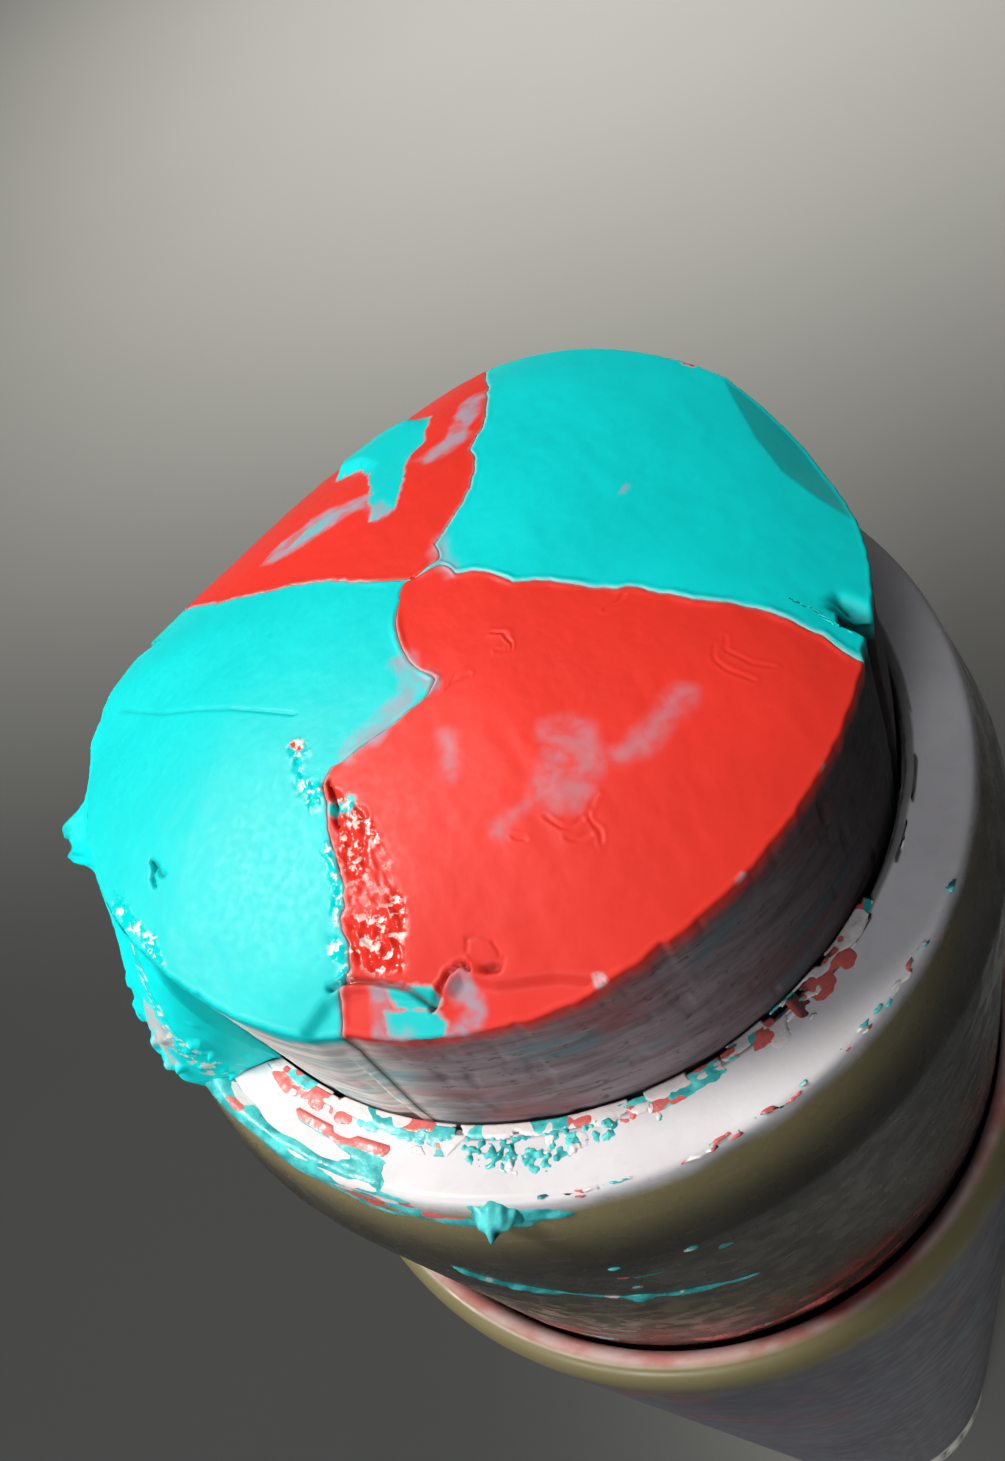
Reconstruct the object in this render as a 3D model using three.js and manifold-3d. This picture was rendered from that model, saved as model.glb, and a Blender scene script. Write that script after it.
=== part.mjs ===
// Twist-up solid paint stick, uncapped: a thick-walled inner tube inside an outer sleeve, a knob and
// feed screw that turn in its foot, and a carrier cup that lifts a stick poured from four wedges of paint.
// Millimetres, +Z up along the tube, origin at the centre of the knob's foot.

import * as THREE from 'three';
import { mergeVertices } from 'three/addons/utils/BufferGeometryUtils.js';
import Module from 'manifold-3d';

const wasm = await Module();
wasm.setup();

// ---- Driving dimensions ----

const RIM_Z = 86;                 // top face of the inner tube
const RIM_R = 7.5;                // outer corner of that face, where the lead-in bevel starts
const BORE_R = 6.45;              // inside of the inner tube
const NECK_R = 8.1;               // outside of the neck, which the cap slides over
const NECK_LENGTH = 10.5;         // neck standing out of the sleeve
const BEVEL_DROP = 2.1;           // height of the neck's lead-in bevel
const SLEEVE_R = 8.9;             // outside of the sleeve
// The sleeve's rounded lip: how far in from its outside and down from its top each point lies.
const SLEEVE_LIP = [[0, 1.1], [0.12, 0.5], [0.35, 0.12], [0.5, 0]];
const SLIP = 0.05;                // radial gap between pressed or poured parts
const TUBE_FOOT_Z = 12.6;         // lower end of the inner tube and the sleeve
const WEB_THICKNESS = 1.6;        // floor of the inner tube, which carries the screw
const WEB_HOLE_R = 2.45;          // hole in the web, for the screw

const KNOB_TOP_Z = 12.2;
const KNOB_R = 8.9;
const KNOB_GRIPS = 32;            // grooves cut into the knob's skirt
const GRIP_R = 0.42;
const GRIP_LENGTH = 8.8;
const KNOB_RIM = 1.5;             // thickness of the knob's skirt
const KNOB_BOSS_R = 3.6;          // boss in the knob's middle, which holds the screw
const KNOB_FLOOR_Z = 2.4;
const FOOT_INNER_R = 6.2;         // the foot stands on a ring from here outwards
const FOOT_RECESS = 0.8;
const SOCKET_HALF = 1.6;          // half the side of the knob's square socket
const SOCKET_FLOOR_Z = 4;

const SCREW_TOP_Z = 73;
const SCREW_CORE_R = 1.5;
const SCREW_CREST_R = 2.2;
const LEAD = 4;                   // rise of the carrier for one turn of the knob
const FLANGE_Z = 14.35;
const FLANGE_R = 5.2;
const FLANGE_THICKNESS = 1;
const THREAD_START_Z = 17.5;
const THREAD_ROOT_HALF = 0.75;    // half the height of the screw's ridge, at its root and at its crest
const THREAD_CREST_HALF = 0.35;
const LUG_TIP_R = 1.8;            // the carrier's lugs reach in to here
const LUG_HALF_ANGLE = 25;        // degrees

const CARRIER_Z = 31;             // underside of the carrier, 14 mm above its lowest place
const CARRIER_R = 6.2;
const CARRIER_WALL_R = 5.1;       // inside of the cup
const CARRIER_HEIGHT = 9;
const CARRIER_FLOOR = 1.6;
const NUT_R = 3.5;
const NUT_BORE_R = 2.45;
const NUT_HEIGHT = 7;

const STICK_R = 6.19;
const STICK_BASE_Z = CARRIER_Z + CARRIER_FLOOR + 0.2;
const STICK_BORE_R = 2.5;
const STICK_BORE_TOP_Z = SCREW_TOP_Z + 14.3;
const DOME_HEIGHT = 4.84;         // crown of the worn end above the rim
const DOME_EDGE = 3.3;            // mean height of the worn end's edge above the rim
const DOME_TILT = 0.02;           // radians: the worn end is a little lower at the back

const KEY_ANGLES = [141, 321];    // degrees: ribs in the bore that stop the stick turning
const KEY_HALF = 0.15;            // half the width of a rib
const KEY_TIP_R = 6;
const KEY_GAP = 0.12;             // play between a rib and the grooves it runs in
const SEAM_ANGLES = { front: 233, right: 317, back: 60, left: 125 };   // where each wedge starts
const SEAM_GAP = 0.03;
const STICK_PLAY = 0.15;          // between the stick and the cup and nut it is poured round

const DEPOSIT_FROM = 146;         // degrees: stretch of the rim that carries dried paint
const DEPOSIT_TO = 204;
const DEPOSIT_GAP = 0.3;          // to the stick, which moves past it
const DEPOSIT_HEIGHT = 3.1;
// Outside of the deposit: how far out from the rim's corner and up from the rim each point lies.
const DEPOSIT_BULGE = [[0.25, 0.05], [0.5, 0.45], [0.35, 1.3], [-0.2, 2.2]];

const CUT_TOP_Z = RIM_Z + 8;      // above everything, for shapes that cut or are cut

const SEGMENTS = 64;
const rad = THREE.MathUtils.degToRad;
const vec = (x, y) => new THREE.Vector2(x, y);

// ---- Solids: closed three.js geometries, joined and cut ----

function solid(geometry) {
  geometry.deleteAttribute('normal');
  geometry.deleteAttribute('uv');
  const merged = mergeVertices(geometry, 1e-4);
  const vertProperties = new Float32Array(merged.attributes.position.array);
  const corners = Array.from(merged.index.array);
  const triangles = [];
  for (let i = 0; i < corners.length; i += 3) {
    const [a, b, c] = corners.slice(i, i + 3);
    if (a !== b && b !== c && c !== a) triangles.push(a, b, c);
  }
  const triVerts = new Uint32Array(triangles);
  const made = new wasm.Manifold(new wasm.Mesh({ numProp: 3, vertProperties, triVerts }));
  if (made.volume() > 0) return made;
  for (let i = 0; i < triangles.length; i += 3) {
    [triVerts[i + 1], triVerts[i + 2]] = [triVerts[i + 2], triVerts[i + 1]];
  }
  return new wasm.Manifold(new wasm.Mesh({ numProp: 3, vertProperties, triVerts }));
}

function geometryOf(shape) {
  const mesh = shape.getMesh();
  const geometry = new THREE.BufferGeometry();
  geometry.setAttribute('position', new THREE.BufferAttribute(mesh.vertProperties, 3));
  geometry.setIndex(new THREE.BufferAttribute(mesh.triVerts, 1));
  geometry.computeVertexNormals();
  return geometry;
}

// A profile of [radius, z] points turned about the Z axis.
function lathe(profile, segments = SEGMENTS) {
  const geometry = new THREE.LatheGeometry(profile.map(([r, z]) => vec(r, z)), segments);
  return solid(geometry.rotateX(Math.PI / 2));
}

function disc(radius, low, high, segments = SEGMENTS) {
  return lathe([[0, low], [radius, low], [radius, high], [0, high]], segments);
}

function block(sizeX, sizeY, low, high, x = 0) {
  const geometry = new THREE.BoxGeometry(sizeX, sizeY, high - low);
  return solid(geometry.translate(x, 0, (low + high) / 2));
}

// A block lying along the radius at an angle, from one radius to another.
function radialBlock(angle, innerR, outerR, halfWidth, low, high) {
  const shape = block(outerR - innerR, 2 * halfWidth, low, high, (innerR + outerR) / 2);
  return shape.rotate([0, 0, angle]);
}

// A ridge of a given section [radius, z] wound about the Z axis, rising by the lead each turn.
function ridge(section, startAngle, endAngle, zAtZero) {
  const outline = new THREE.Shape(section.map(([r, z]) => vec(r, z)));
  const sweep = endAngle - startAngle;
  const steps = Math.max(4, Math.ceil(sweep / rad(20)));
  const geometry = new THREE.ExtrudeGeometry(outline, { depth: sweep, steps, bevelEnabled: false });
  const position = geometry.attributes.position;
  for (let i = 0; i < position.count; i++) {
    const r = position.getX(i);
    const angle = startAngle + position.getZ(i);
    const z = zAtZero + position.getY(i) + LEAD * angle / (2 * Math.PI);
    position.setXYZ(i, r * Math.cos(angle), r * Math.sin(angle), z);
  }
  return solid(geometry);
}

// ---- Tube ----

function innerTube() {
  const webTop = TUBE_FOOT_Z + WEB_THICKNESS;
  const shell = lathe([
    [WEB_HOLE_R, TUBE_FOOT_Z], [NECK_R - SLIP, TUBE_FOOT_Z],
    [NECK_R - SLIP, RIM_Z - NECK_LENGTH], [NECK_R, RIM_Z - NECK_LENGTH],
    [NECK_R, RIM_Z - BEVEL_DROP], [RIM_R, RIM_Z],
    [BORE_R + 0.15, RIM_Z], [BORE_R, RIM_Z - 0.3],
    [BORE_R, webTop], [WEB_HOLE_R, webTop], [WEB_HOLE_R, TUBE_FOOT_Z],
  ]);
  const ribs = KEY_ANGLES.map((angle) =>
    radialBlock(angle, KEY_TIP_R, BORE_R + 0.3, KEY_HALF, webTop + 1.5, RIM_Z - 0.6));
  return wasm.Manifold.union([shell, ...ribs]);
}

function outerSleeve() {
  const top = RIM_Z - NECK_LENGTH;
  const inside = NECK_R + SLIP;
  return lathe([
    [inside, TUBE_FOOT_Z], [SLEEVE_R, TUBE_FOOT_Z],
    ...SLEEVE_LIP.map(([inward, down]) => [SLEEVE_R - inward, top - down]),
    [inside, top], [inside, TUBE_FOOT_Z],
  ]);
}

// Paint that has squeezed over the rim beside the stick and dried there.
function rimDeposit() {
  const foot = RIM_Z + SLIP;
  const inner = STICK_R + DEPOSIT_GAP;
  const ring = lathe([
    [inner, foot], ...DEPOSIT_BULGE.map(([out, up]) => [RIM_R + out, RIM_Z + up]),
    [inner, RIM_Z + DEPOSIT_HEIGHT], [inner, foot],
  ]);
  return ring.intersect(sector(DEPOSIT_FROM, DEPOSIT_TO, SLEEVE_R, RIM_Z - 1, CUT_TOP_Z));
}

// ---- Base that turns ----

function baseKnob() {
  const body = lathe([
    [0, FOOT_RECESS], [FOOT_INNER_R - 0.6, FOOT_RECESS], [FOOT_INNER_R, 0],
    [KNOB_R - 0.9, 0], [KNOB_R - 0.2, 0.35], [KNOB_R, 1],
    [KNOB_R, KNOB_TOP_Z - 0.5], [KNOB_R - 0.4, KNOB_TOP_Z], [KNOB_R - KNOB_RIM, KNOB_TOP_Z],
    [KNOB_R - KNOB_RIM, KNOB_FLOOR_Z], [KNOB_BOSS_R, KNOB_FLOOR_Z],
    [KNOB_BOSS_R, KNOB_TOP_Z], [0, KNOB_TOP_Z],
  ]);
  const socket = block(2 * SOCKET_HALF, 2 * SOCKET_HALF, SOCKET_FLOOR_Z, KNOB_TOP_Z + 1);
  const groove = new THREE.CylinderGeometry(GRIP_R, GRIP_R, GRIP_LENGTH, 6);
  groove.rotateX(Math.PI / 2).translate(KNOB_R + 0.08, 0, KNOB_TOP_Z / 2 + 0.1);
  const grooves = [];
  for (let i = 0; i < KNOB_GRIPS; i++) {
    grooves.push(solid(groove.clone()).rotate([0, 0, (i + 0.5) * 360 / KNOB_GRIPS]));
  }
  return body.subtract(wasm.Manifold.union([socket, ...grooves]));
}

function feedScrew() {
  const rootHalf = SOCKET_HALF - SLIP;
  const root = block(2 * rootHalf, 2 * rootHalf, SOCKET_FLOOR_Z + 0.3, KNOB_TOP_Z + 0.1);
  const spine = lathe([
    [0, KNOB_TOP_Z + 0.05], [SCREW_CREST_R, KNOB_TOP_Z + 0.05], [SCREW_CREST_R, FLANGE_Z],
    [FLANGE_R, FLANGE_Z], [FLANGE_R, FLANGE_Z + FLANGE_THICKNESS],
    [SCREW_CORE_R, FLANGE_Z + FLANGE_THICKNESS], [SCREW_CORE_R, SCREW_TOP_Z - 0.6],
    [SCREW_CORE_R - 0.6, SCREW_TOP_Z], [0, SCREW_TOP_Z],
  ], 18);
  const turns = (SCREW_TOP_Z - 1.8 - THREAD_START_Z) / LEAD;
  const inside = SCREW_CORE_R - 0.3;
  const thread = ridge(
    [
      [inside, -THREAD_ROOT_HALF], [SCREW_CREST_R, -THREAD_CREST_HALF],
      [SCREW_CREST_R, THREAD_CREST_HALF], [inside, THREAD_ROOT_HALF],
    ],
    0, turns * 2 * Math.PI, THREAD_START_Z,
  );
  return wasm.Manifold.union([root, spine, thread]);
}

// ---- Carriage that rises ----

function carrierCup() {
  const bottom = CARRIER_Z;
  const floor = bottom + CARRIER_FLOOR;
  const top = bottom + CARRIER_HEIGHT;
  const cup = lathe([
    [NUT_BORE_R, bottom], [CARRIER_R - 0.4, bottom], [CARRIER_R, bottom + 0.5], [CARRIER_R, top],
    [CARRIER_WALL_R, top], [CARRIER_WALL_R, floor], [NUT_R, floor], [NUT_R, bottom + NUT_HEIGHT],
    [NUT_BORE_R, bottom + NUT_HEIGHT], [NUT_BORE_R, bottom],
  ]);
  const keyways = KEY_ANGLES.map((angle) =>
    radialBlock(angle, KEY_TIP_R - KEY_GAP, CARRIER_R + 1, KEY_HALF + KEY_GAP, bottom - 1, top + 1));
  // Two lugs run in the screw's groove, half a lead away from its ridge.
  const lugs = [0, 1].map((side) => {
    const middle = side * Math.PI;
    const ridgeZ = THREAD_START_Z + LEAD * middle / (2 * Math.PI);
    const wanted = bottom + 2.2 + side * LEAD / 2;
    const whole = Math.floor((wanted - ridgeZ) / LEAD);
    const root = NUT_BORE_R + 0.3;
    const section = [
      [LUG_TIP_R, -THREAD_CREST_HALF], [root, -THREAD_ROOT_HALF],
      [root, THREAD_ROOT_HALF], [LUG_TIP_R, THREAD_CREST_HALF],
    ];
    const zAtZero = THREAD_START_Z + (whole + 0.5) * LEAD;
    return ridge(section, middle - rad(LUG_HALF_ANGLE), middle + rad(LUG_HALF_ANGLE), zAtZero);
  });
  return wasm.Manifold.union([cup, ...lugs]).subtract(wasm.Manifold.union(keyways));
}

// A wedge about the Z axis between two angles, its straight sides pulled in by the seam gap.
function sector(from, to, radius, low, high) {
  const outline = new THREE.Shape();
  const middle = rad((from + to) / 2);
  const pull = SEAM_GAP / Math.sin(rad((to - from) / 2));
  const x = pull * Math.cos(middle);
  const y = pull * Math.sin(middle);
  outline.moveTo(x, y);
  const steps = Math.ceil((to - from) / 5);
  for (let i = 0; i <= steps; i++) {
    const angle = rad(from + (to - from) * i / steps);
    outline.lineTo(x + radius * Math.cos(angle), y + radius * Math.sin(angle));
  }
  const geometry = new THREE.ExtrudeGeometry(outline, { depth: high - low, bevelEnabled: false });
  return solid(geometry.translate(0, 0, low));
}

// The whole stick: round, waisted inside the cup, bored for the screw, with a worn, domed end.
function wholeStick() {
  const cupTop = CARRIER_Z + CARRIER_HEIGHT;
  const nutTop = CARRIER_Z + NUT_HEIGHT;
  const round = lathe([
    [NUT_R + STICK_PLAY, STICK_BASE_Z], [CARRIER_WALL_R - STICK_PLAY, STICK_BASE_Z],
    [CARRIER_WALL_R - STICK_PLAY, cupTop + 0.2], [STICK_R, cupTop + 0.2], [STICK_R, CUT_TOP_Z],
    [0, CUT_TOP_Z], [0, STICK_BORE_TOP_Z], [STICK_BORE_R, STICK_BORE_TOP_Z],
    [STICK_BORE_R, nutTop + 0.3], [NUT_R + STICK_PLAY, nutTop + 0.3], [NUT_R + STICK_PLAY, STICK_BASE_Z],
  ]);
  const sag = DOME_HEIGHT - DOME_EDGE;
  const domeR = (STICK_R ** 2 + sag ** 2) / (2 * sag);
  const profile = [[0, STICK_BASE_Z - 1], [STICK_R + 1, STICK_BASE_Z - 1]];
  for (let i = 8; i >= 0; i--) {
    const r = (STICK_R + 1) * i / 8;
    profile.push([r, RIM_Z + DOME_HEIGHT - domeR + Math.sqrt(domeR ** 2 - r ** 2)]);
  }
  const worn = lathe(profile).translate([0, 0, -RIM_Z]).rotate([-DOME_TILT * 180 / Math.PI, 0, 0]);
  const grooves = KEY_ANGLES.map((angle) =>
    radialBlock(angle, KEY_TIP_R - KEY_GAP, STICK_R + 1, KEY_HALF + KEY_GAP, STICK_BASE_Z, CUT_TOP_Z));
  return round.intersect(worn.translate([0, 0, RIM_Z])).subtract(wasm.Manifold.union(grooves));
}

// ---- Assembly ----

const plastic = (color, roughness) =>
  new THREE.MeshStandardMaterial({ color, roughness, metalness: 0 });
const materials = {
  natural: plastic(0xe9e8e2, 0.35),
  sleeve: plastic(0x4c4c57, 0.4),
  knob: plastic(0xe4e2da, 0.45),
  white: plastic(0xf2f2ee, 0.5),
  red: plastic(0xf2452f, 0.45),
  turquoise: plastic(0x18d8d8, 0.4),
};

function part(name, shape, material) {
  const mesh = new THREE.Mesh(geometryOf(shape), material);
  mesh.name = name;
  return mesh;
}

const tube = new THREE.Group();
tube.add(
  part('inner_tube', innerTube(), materials.natural),
  part('outer_sleeve', outerSleeve(), materials.sleeve),
  part('rim_paint_deposit', rimDeposit(), materials.turquoise),
);

const twistBase = new THREE.Group();
twistBase.add(
  part('base_knob', baseKnob(), materials.knob),
  part('feed_screw', feedScrew(), materials.white),
);

const carriage = new THREE.Group();
carriage.add(part('carrier_cup', carrierCup(), materials.white));
const stick = wholeStick();
const wedges = [
  ['paint_red_front', SEAM_ANGLES.front, SEAM_ANGLES.right, materials.red],
  ['paint_turquoise_right', SEAM_ANGLES.right, SEAM_ANGLES.back + 360, materials.turquoise],
  ['paint_red_back', SEAM_ANGLES.back, SEAM_ANGLES.left, materials.red],
  ['paint_turquoise_left', SEAM_ANGLES.left, SEAM_ANGLES.front, materials.turquoise],
];
for (const [name, from, to, material] of wedges) {
  const wedge = sector(from, to, STICK_R + 3, STICK_BASE_Z - 1, CUT_TOP_Z);
  carriage.add(part(name, stick.intersect(wedge), material));
}

const paintStick = new THREE.Group();
paintStick.add(tube, twistBase, carriage);

export default paintStick;
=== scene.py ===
"""Looks for a twist-up stick of solid paint: worn two-colour paint, a smeared rim, translucent plastic."""

import itertools
import math

import bmesh
import bpy
import numpy as np
from mathutils import Matrix, Vector


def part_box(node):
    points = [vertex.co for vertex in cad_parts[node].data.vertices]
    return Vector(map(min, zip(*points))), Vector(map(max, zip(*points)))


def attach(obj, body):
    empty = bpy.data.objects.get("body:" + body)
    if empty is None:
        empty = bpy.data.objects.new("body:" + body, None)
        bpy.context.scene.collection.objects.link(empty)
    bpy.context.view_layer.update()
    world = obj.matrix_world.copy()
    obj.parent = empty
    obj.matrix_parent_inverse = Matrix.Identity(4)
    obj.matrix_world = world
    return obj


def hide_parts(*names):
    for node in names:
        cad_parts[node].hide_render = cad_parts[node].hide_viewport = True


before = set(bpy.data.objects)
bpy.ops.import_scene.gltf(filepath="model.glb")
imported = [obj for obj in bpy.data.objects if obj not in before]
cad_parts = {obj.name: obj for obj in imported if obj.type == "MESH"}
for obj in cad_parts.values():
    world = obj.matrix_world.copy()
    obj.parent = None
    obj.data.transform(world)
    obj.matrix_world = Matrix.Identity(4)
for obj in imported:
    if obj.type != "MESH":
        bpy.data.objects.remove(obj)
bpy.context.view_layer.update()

MM = 0.001


# ---- Places, in millimetres, read from the frame ----

def low(node):
    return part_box(node)[0].z / MM


def high(node):
    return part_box(node)[1].z / MM


def radius(node):
    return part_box(node)[1].x / MM


RIM = high("inner_tube")
TUBE_FOOT = low("inner_tube")
NECK_R = radius("inner_tube")
SHOULDER = high("outer_sleeve")
SLEEVE_R = radius("outer_sleeve")
KNOB_TOP = high("base_knob")
KNOB_R = radius("base_knob")
CUP_TOP = high("carrier_cup")
CUP_LOW = low("carrier_cup")
STICK_LOW = low("paint_red_front")
APEX = max(high(n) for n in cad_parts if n.startswith("paint_")) - RIM

RIM_R = 7.5             # outer corner of the rim's flat face
BEVEL_DROP = 2.1        # height of the neck's lead-in bevel
BORE_R = 6.45           # inside of the inner tube
STICK_R = 6.24          # the stick's side
FULL_R = 6.38           # the stick's side where the paint fills the bore
LIP_ROUND = 0.07        # rounding between the stick's face and its side
WEB_TOP = TUBE_FOOT + 1.6       # floor of the inner tube, which carries the screw
WEB_HOLE_R = 2.45
RIB_ANGLES = (141, 321) # degrees: ribs in the bore, which run in grooves in the stick
RIB_TIP_R = 6.0
RIB_HALF = 0.13
GROOVE_HALF = 0.17
GROOVE_PLAY = 0.14      # from a rib's tip to its groove's floor
RED = (0.79, 0.034, 0.02, 1)
TURQUOISE = (0.0, 0.65, 0.65, 1)
HAZE = (0.33, 0.36, 0.44, 1)
PATCH_EDGE = (0.55, 0.4, 0.42, 1)
SEAM_LINE = (0.6, 0.46, 0.47, 1)
GLINT_WHITE = (0.95, 0.8, 0.72, 1)


# ---- Numbers: noise, ramps and distances ----

def noise(points, size, seed=0):
    """Smooth noise from -1 to 1 at an array of points, its lumps about size across."""
    table = np.random.default_rng(seed).uniform(-1, 1, 4096)
    place = np.asarray(points, float) / size
    cell = np.floor(place).astype(np.int64)
    part = place - cell
    part = part * part * (3 - 2 * part)
    total = 0.0
    for corner in itertools.product((0, 1), repeat=3):
        at = cell + corner
        key = (at[..., 0] * 73856093) ^ (at[..., 1] * 19349663) ^ (at[..., 2] * 83492791)
        weight = np.prod(np.where(corner, part, 1 - part), axis=-1)
        total = total + weight * table[key % 4096]
    return total


def rough(points, size, octaves=3, seed=0):
    """Noise with finer and finer detail added."""
    return sum(noise(points, size / 2**k, seed + k) / 2**k for k in range(octaves))


def ramp(value, start, end):
    """0 up to start, 1 from end on, and smooth between them."""
    share = np.clip((value - start) / (end - start), 0, 1)
    return share * share * (3 - 2 * share)


def window(value, start, end, soft):
    return ramp(value, start - soft, start + soft) * (1 - ramp(value, end - soft, end + soft))


def polar(x, y):
    return np.hypot(x, y), np.degrees(np.arctan2(y, x)) % 360


def flat(x, y, z=0.0):
    return np.stack(np.broadcast_arrays(x, y, z), axis=-1)


def spun(r, angle, z=0.0):
    """Places from radius, angle and height."""
    a = np.radians(angle)
    return flat(r * np.cos(a), r * np.sin(a), z)


def apart(angle, other):
    """How far one angle is past another, from -180 to 180 degrees."""
    return (angle - other + 180) % 360 - 180


def near(x, y, line):
    """Distance from each place to a line through a few points."""
    best = np.full(np.shape(x), 1e9)
    for (ax, ay), (bx, by) in zip(line, line[1:]):
        length = max((bx - ax) ** 2 + (by - ay) ** 2, 1e-9)
        share = np.clip(((x - ax) * (bx - ax) + (y - ay) * (by - ay)) / length, 0, 1)
        best = np.minimum(best, np.hypot(x - ax - share * (bx - ax), y - ay - share * (by - ay)))
    return best


def inside(x, y, patch):
    """Distance to the edge of a patch: positive inside it, negative outside."""
    closed = list(patch) + [patch[0]]
    within = np.zeros(np.shape(x), bool)
    for (ax, ay), (bx, by) in zip(closed, closed[1:]):
        crosses = (ay > y) != (by > y)
        within ^= crosses & (x < (bx - ax) * (y - ay) / np.where(by == ay, 1e-9, by - ay) + ax)
    return np.where(within, 1, -1) * near(x, y, closed)


# ---- Meshes ----

def grid_faces(rows, columns, loop_rows=False, loop_columns=False):
    r = np.arange(rows if loop_rows else rows - 1)[:, None]
    c = np.arange(columns if loop_columns else columns - 1)[None, :]
    up, right = (r + 1) % rows, (c + 1) % columns
    corners = (r * columns + c, r * columns + right, up * columns + right, up * columns + c)
    return np.stack(np.broadcast_arrays(*corners), axis=-1).reshape(-1, 4)


def placed(name, data):
    """A new object in the scene."""
    made = bpy.data.objects.new(name, data)
    bpy.context.scene.collection.objects.link(made)
    return made


def piece(name, places, faces, body, material, fields=None, replaces=(), wall=0.0):
    """A shown mesh from places in millimetres, riding on a body; wall makes an open sheet solid."""
    mesh = bpy.data.meshes.new(name)
    mesh.from_pydata((places.reshape(-1, 3) * MM).tolist(), [], [list(f) for f in faces])
    for key, values in (fields or {}).items():
        layer = mesh.attributes.new(key, "FLOAT", "POINT")
        layer.data.foreach_set("value", np.ascontiguousarray(values, np.float32).ravel())
    work = bmesh.new()
    work.from_mesh(mesh)
    loose = [v for v in work.verts if not v.link_faces]
    bmesh.ops.delete(work, geom=loose, context="VERTS")
    bmesh.ops.recalc_face_normals(work, faces=work.faces)
    work.to_mesh(mesh)
    work.free()
    mesh.shade_smooth()
    mesh.materials.append(material)
    made = placed(name, mesh)
    if wall:
        solid = made.modifiers.new("wall", "SOLIDIFY")
        solid.thickness = wall * MM
        solid.offset = -1
    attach(made, body)
    if replaces:
        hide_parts(*replaces)
    return made


# ---- Materials ----

class Finish:
    """A procedural material: each method adds a node and gives back its output."""

    def __init__(self, name, roughness, **plain):
        self.material = bpy.data.materials.new(name)
        self.material.use_nodes = True
        self.tree = self.material.node_tree
        self.surface = self.tree.nodes["Principled BSDF"]
        self.put(self.surface.inputs["Roughness"], roughness)
        for key, value in plain.items():
            self.put(self.surface.inputs[key.replace("_", " ")], value)
        self.place = self.node("TexCoord").outputs["Object"]

    def put(self, socket, value):
        if isinstance(value, bpy.types.NodeSocket):
            self.tree.links.new(value, socket)
        else:
            socket.default_value = value

    def node(self, kind, inputs=None, **settings):
        made = self.tree.nodes.new("ShaderNode" + kind)
        for key, value in settings.items():
            setattr(made, key, value)
        for key, value in (inputs or {}).items():
            self.put(made.inputs[key], value)
        return made

    def field(self, name):
        return self.node("Attribute", attribute_name=name).outputs["Fac"]

    def noise(self, size, detail=3, stretch=None, distortion=0.0):
        """Noise from 0 to 1 with lumps of a size in millimetres, stretched along an axis if asked."""
        place = self.place
        if stretch:
            place = self.node("Mapping", {"Vector": place, "Scale": stretch}).outputs["Vector"]
        inputs = {"Vector": place, "Scale": 1 / (size * MM), "Detail": detail, "Distortion": distortion}
        return self.node("TexNoise", inputs).outputs["Fac"]

    def band(self, value, start, end, low=0.0, high=1.0):
        inputs = {"Value": value, "From Min": start, "From Max": end, "To Min": low, "To Max": high}
        made = self.node("MapRange", inputs, interpolation_type="SMOOTHSTEP")
        return made.outputs["Result"]

    def math(self, operation, a, b):
        return self.node("Math", {0: a, 1: b}, operation=operation, use_clamp=False).outputs[0]

    def times(self, a, b):
        return self.math("MULTIPLY", a, b)

    def mix(self, share, a, b):
        made = self.node("Mix", {0: share, 6: a, 7: b}, data_type="RGBA", blend_type="MIX")
        return made.outputs[2]

    def bump(self, height, distance, strength=1.0, under=None):
        inputs = {"Height": height, "Distance": distance * MM, "Strength": strength}
        if under:
            inputs["Normal"] = under
        return self.node("Bump", inputs).outputs["Normal"]

    def finish(self, colour, normal=None, roughness=None):
        self.put(self.surface.inputs["Base Color"], colour)
        if normal:
            self.put(self.surface.inputs["Normal"], normal)
        if roughness:
            self.put(self.surface.inputs["Roughness"], roughness)
        return self.material


def tint(colour, share):
    return tuple(min(1, c * share) for c in colour[:3]) + (1,)


def wall_film(f):
    """The smeared grey film on the stick's side: streaks round it, with stains of both paints, painted lighter
    on the lit left and near black as painted shade on the right.
    """
    streaks = f.noise(0.3, 6, stretch=(0.2, 0.2, 1), distortion=1.2)
    specks = f.noise(0.09, 3, stretch=(0.5, 0.5, 1))
    grey = f.mix(f.band(streaks, 0.25, 0.75), (0.17, 0.125, 0.135, 1), (0.38, 0.3, 0.32, 1))
    grey = f.mix(f.band(specks, 0.6, 0.7, 0, 0.6), grey, (0.06, 0.035, 0.045, 1))
    # Painted light: the cream streaks, and the paler pink and teal below, are a lit copy of the film, mixed in
    # on the left side where light falls.
    cream = f.mix(f.band(streaks, 0.35, 0.6), (0.5, 0.56, 0.54, 1), (0.95, 0.88, 0.82, 1))
    grey = f.mix(f.field("painted_light_left"), grey, cream)
    pink = f.band(f.noise(1.3, 4, stretch=(0.5, 0.5, 1)), 0.5, 0.7, 0, 0.6)
    grey = f.mix(pink, grey, f.mix(f.field("painted_light_left"), (0.34, 0.06, 0.055, 1), (0.85, 0.4, 0.38, 1)))
    teal = f.band(f.noise(0.9, 4, stretch=(0.4, 0.4, 1.3)), 0.57, 0.7, 0, 0.5)
    grey = f.mix(teal, grey, f.mix(f.field("painted_light_left"), (0.04, 0.26, 0.28, 1), (0.25, 0.65, 0.66, 1)))
    # Painted shade: the film is darkened to near black on the stick's right side, which is in shade.
    return f.mix(f.times(f.field("painted_shade"), 0.9), grey, (0.012, 0.008, 0.01, 1))


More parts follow.
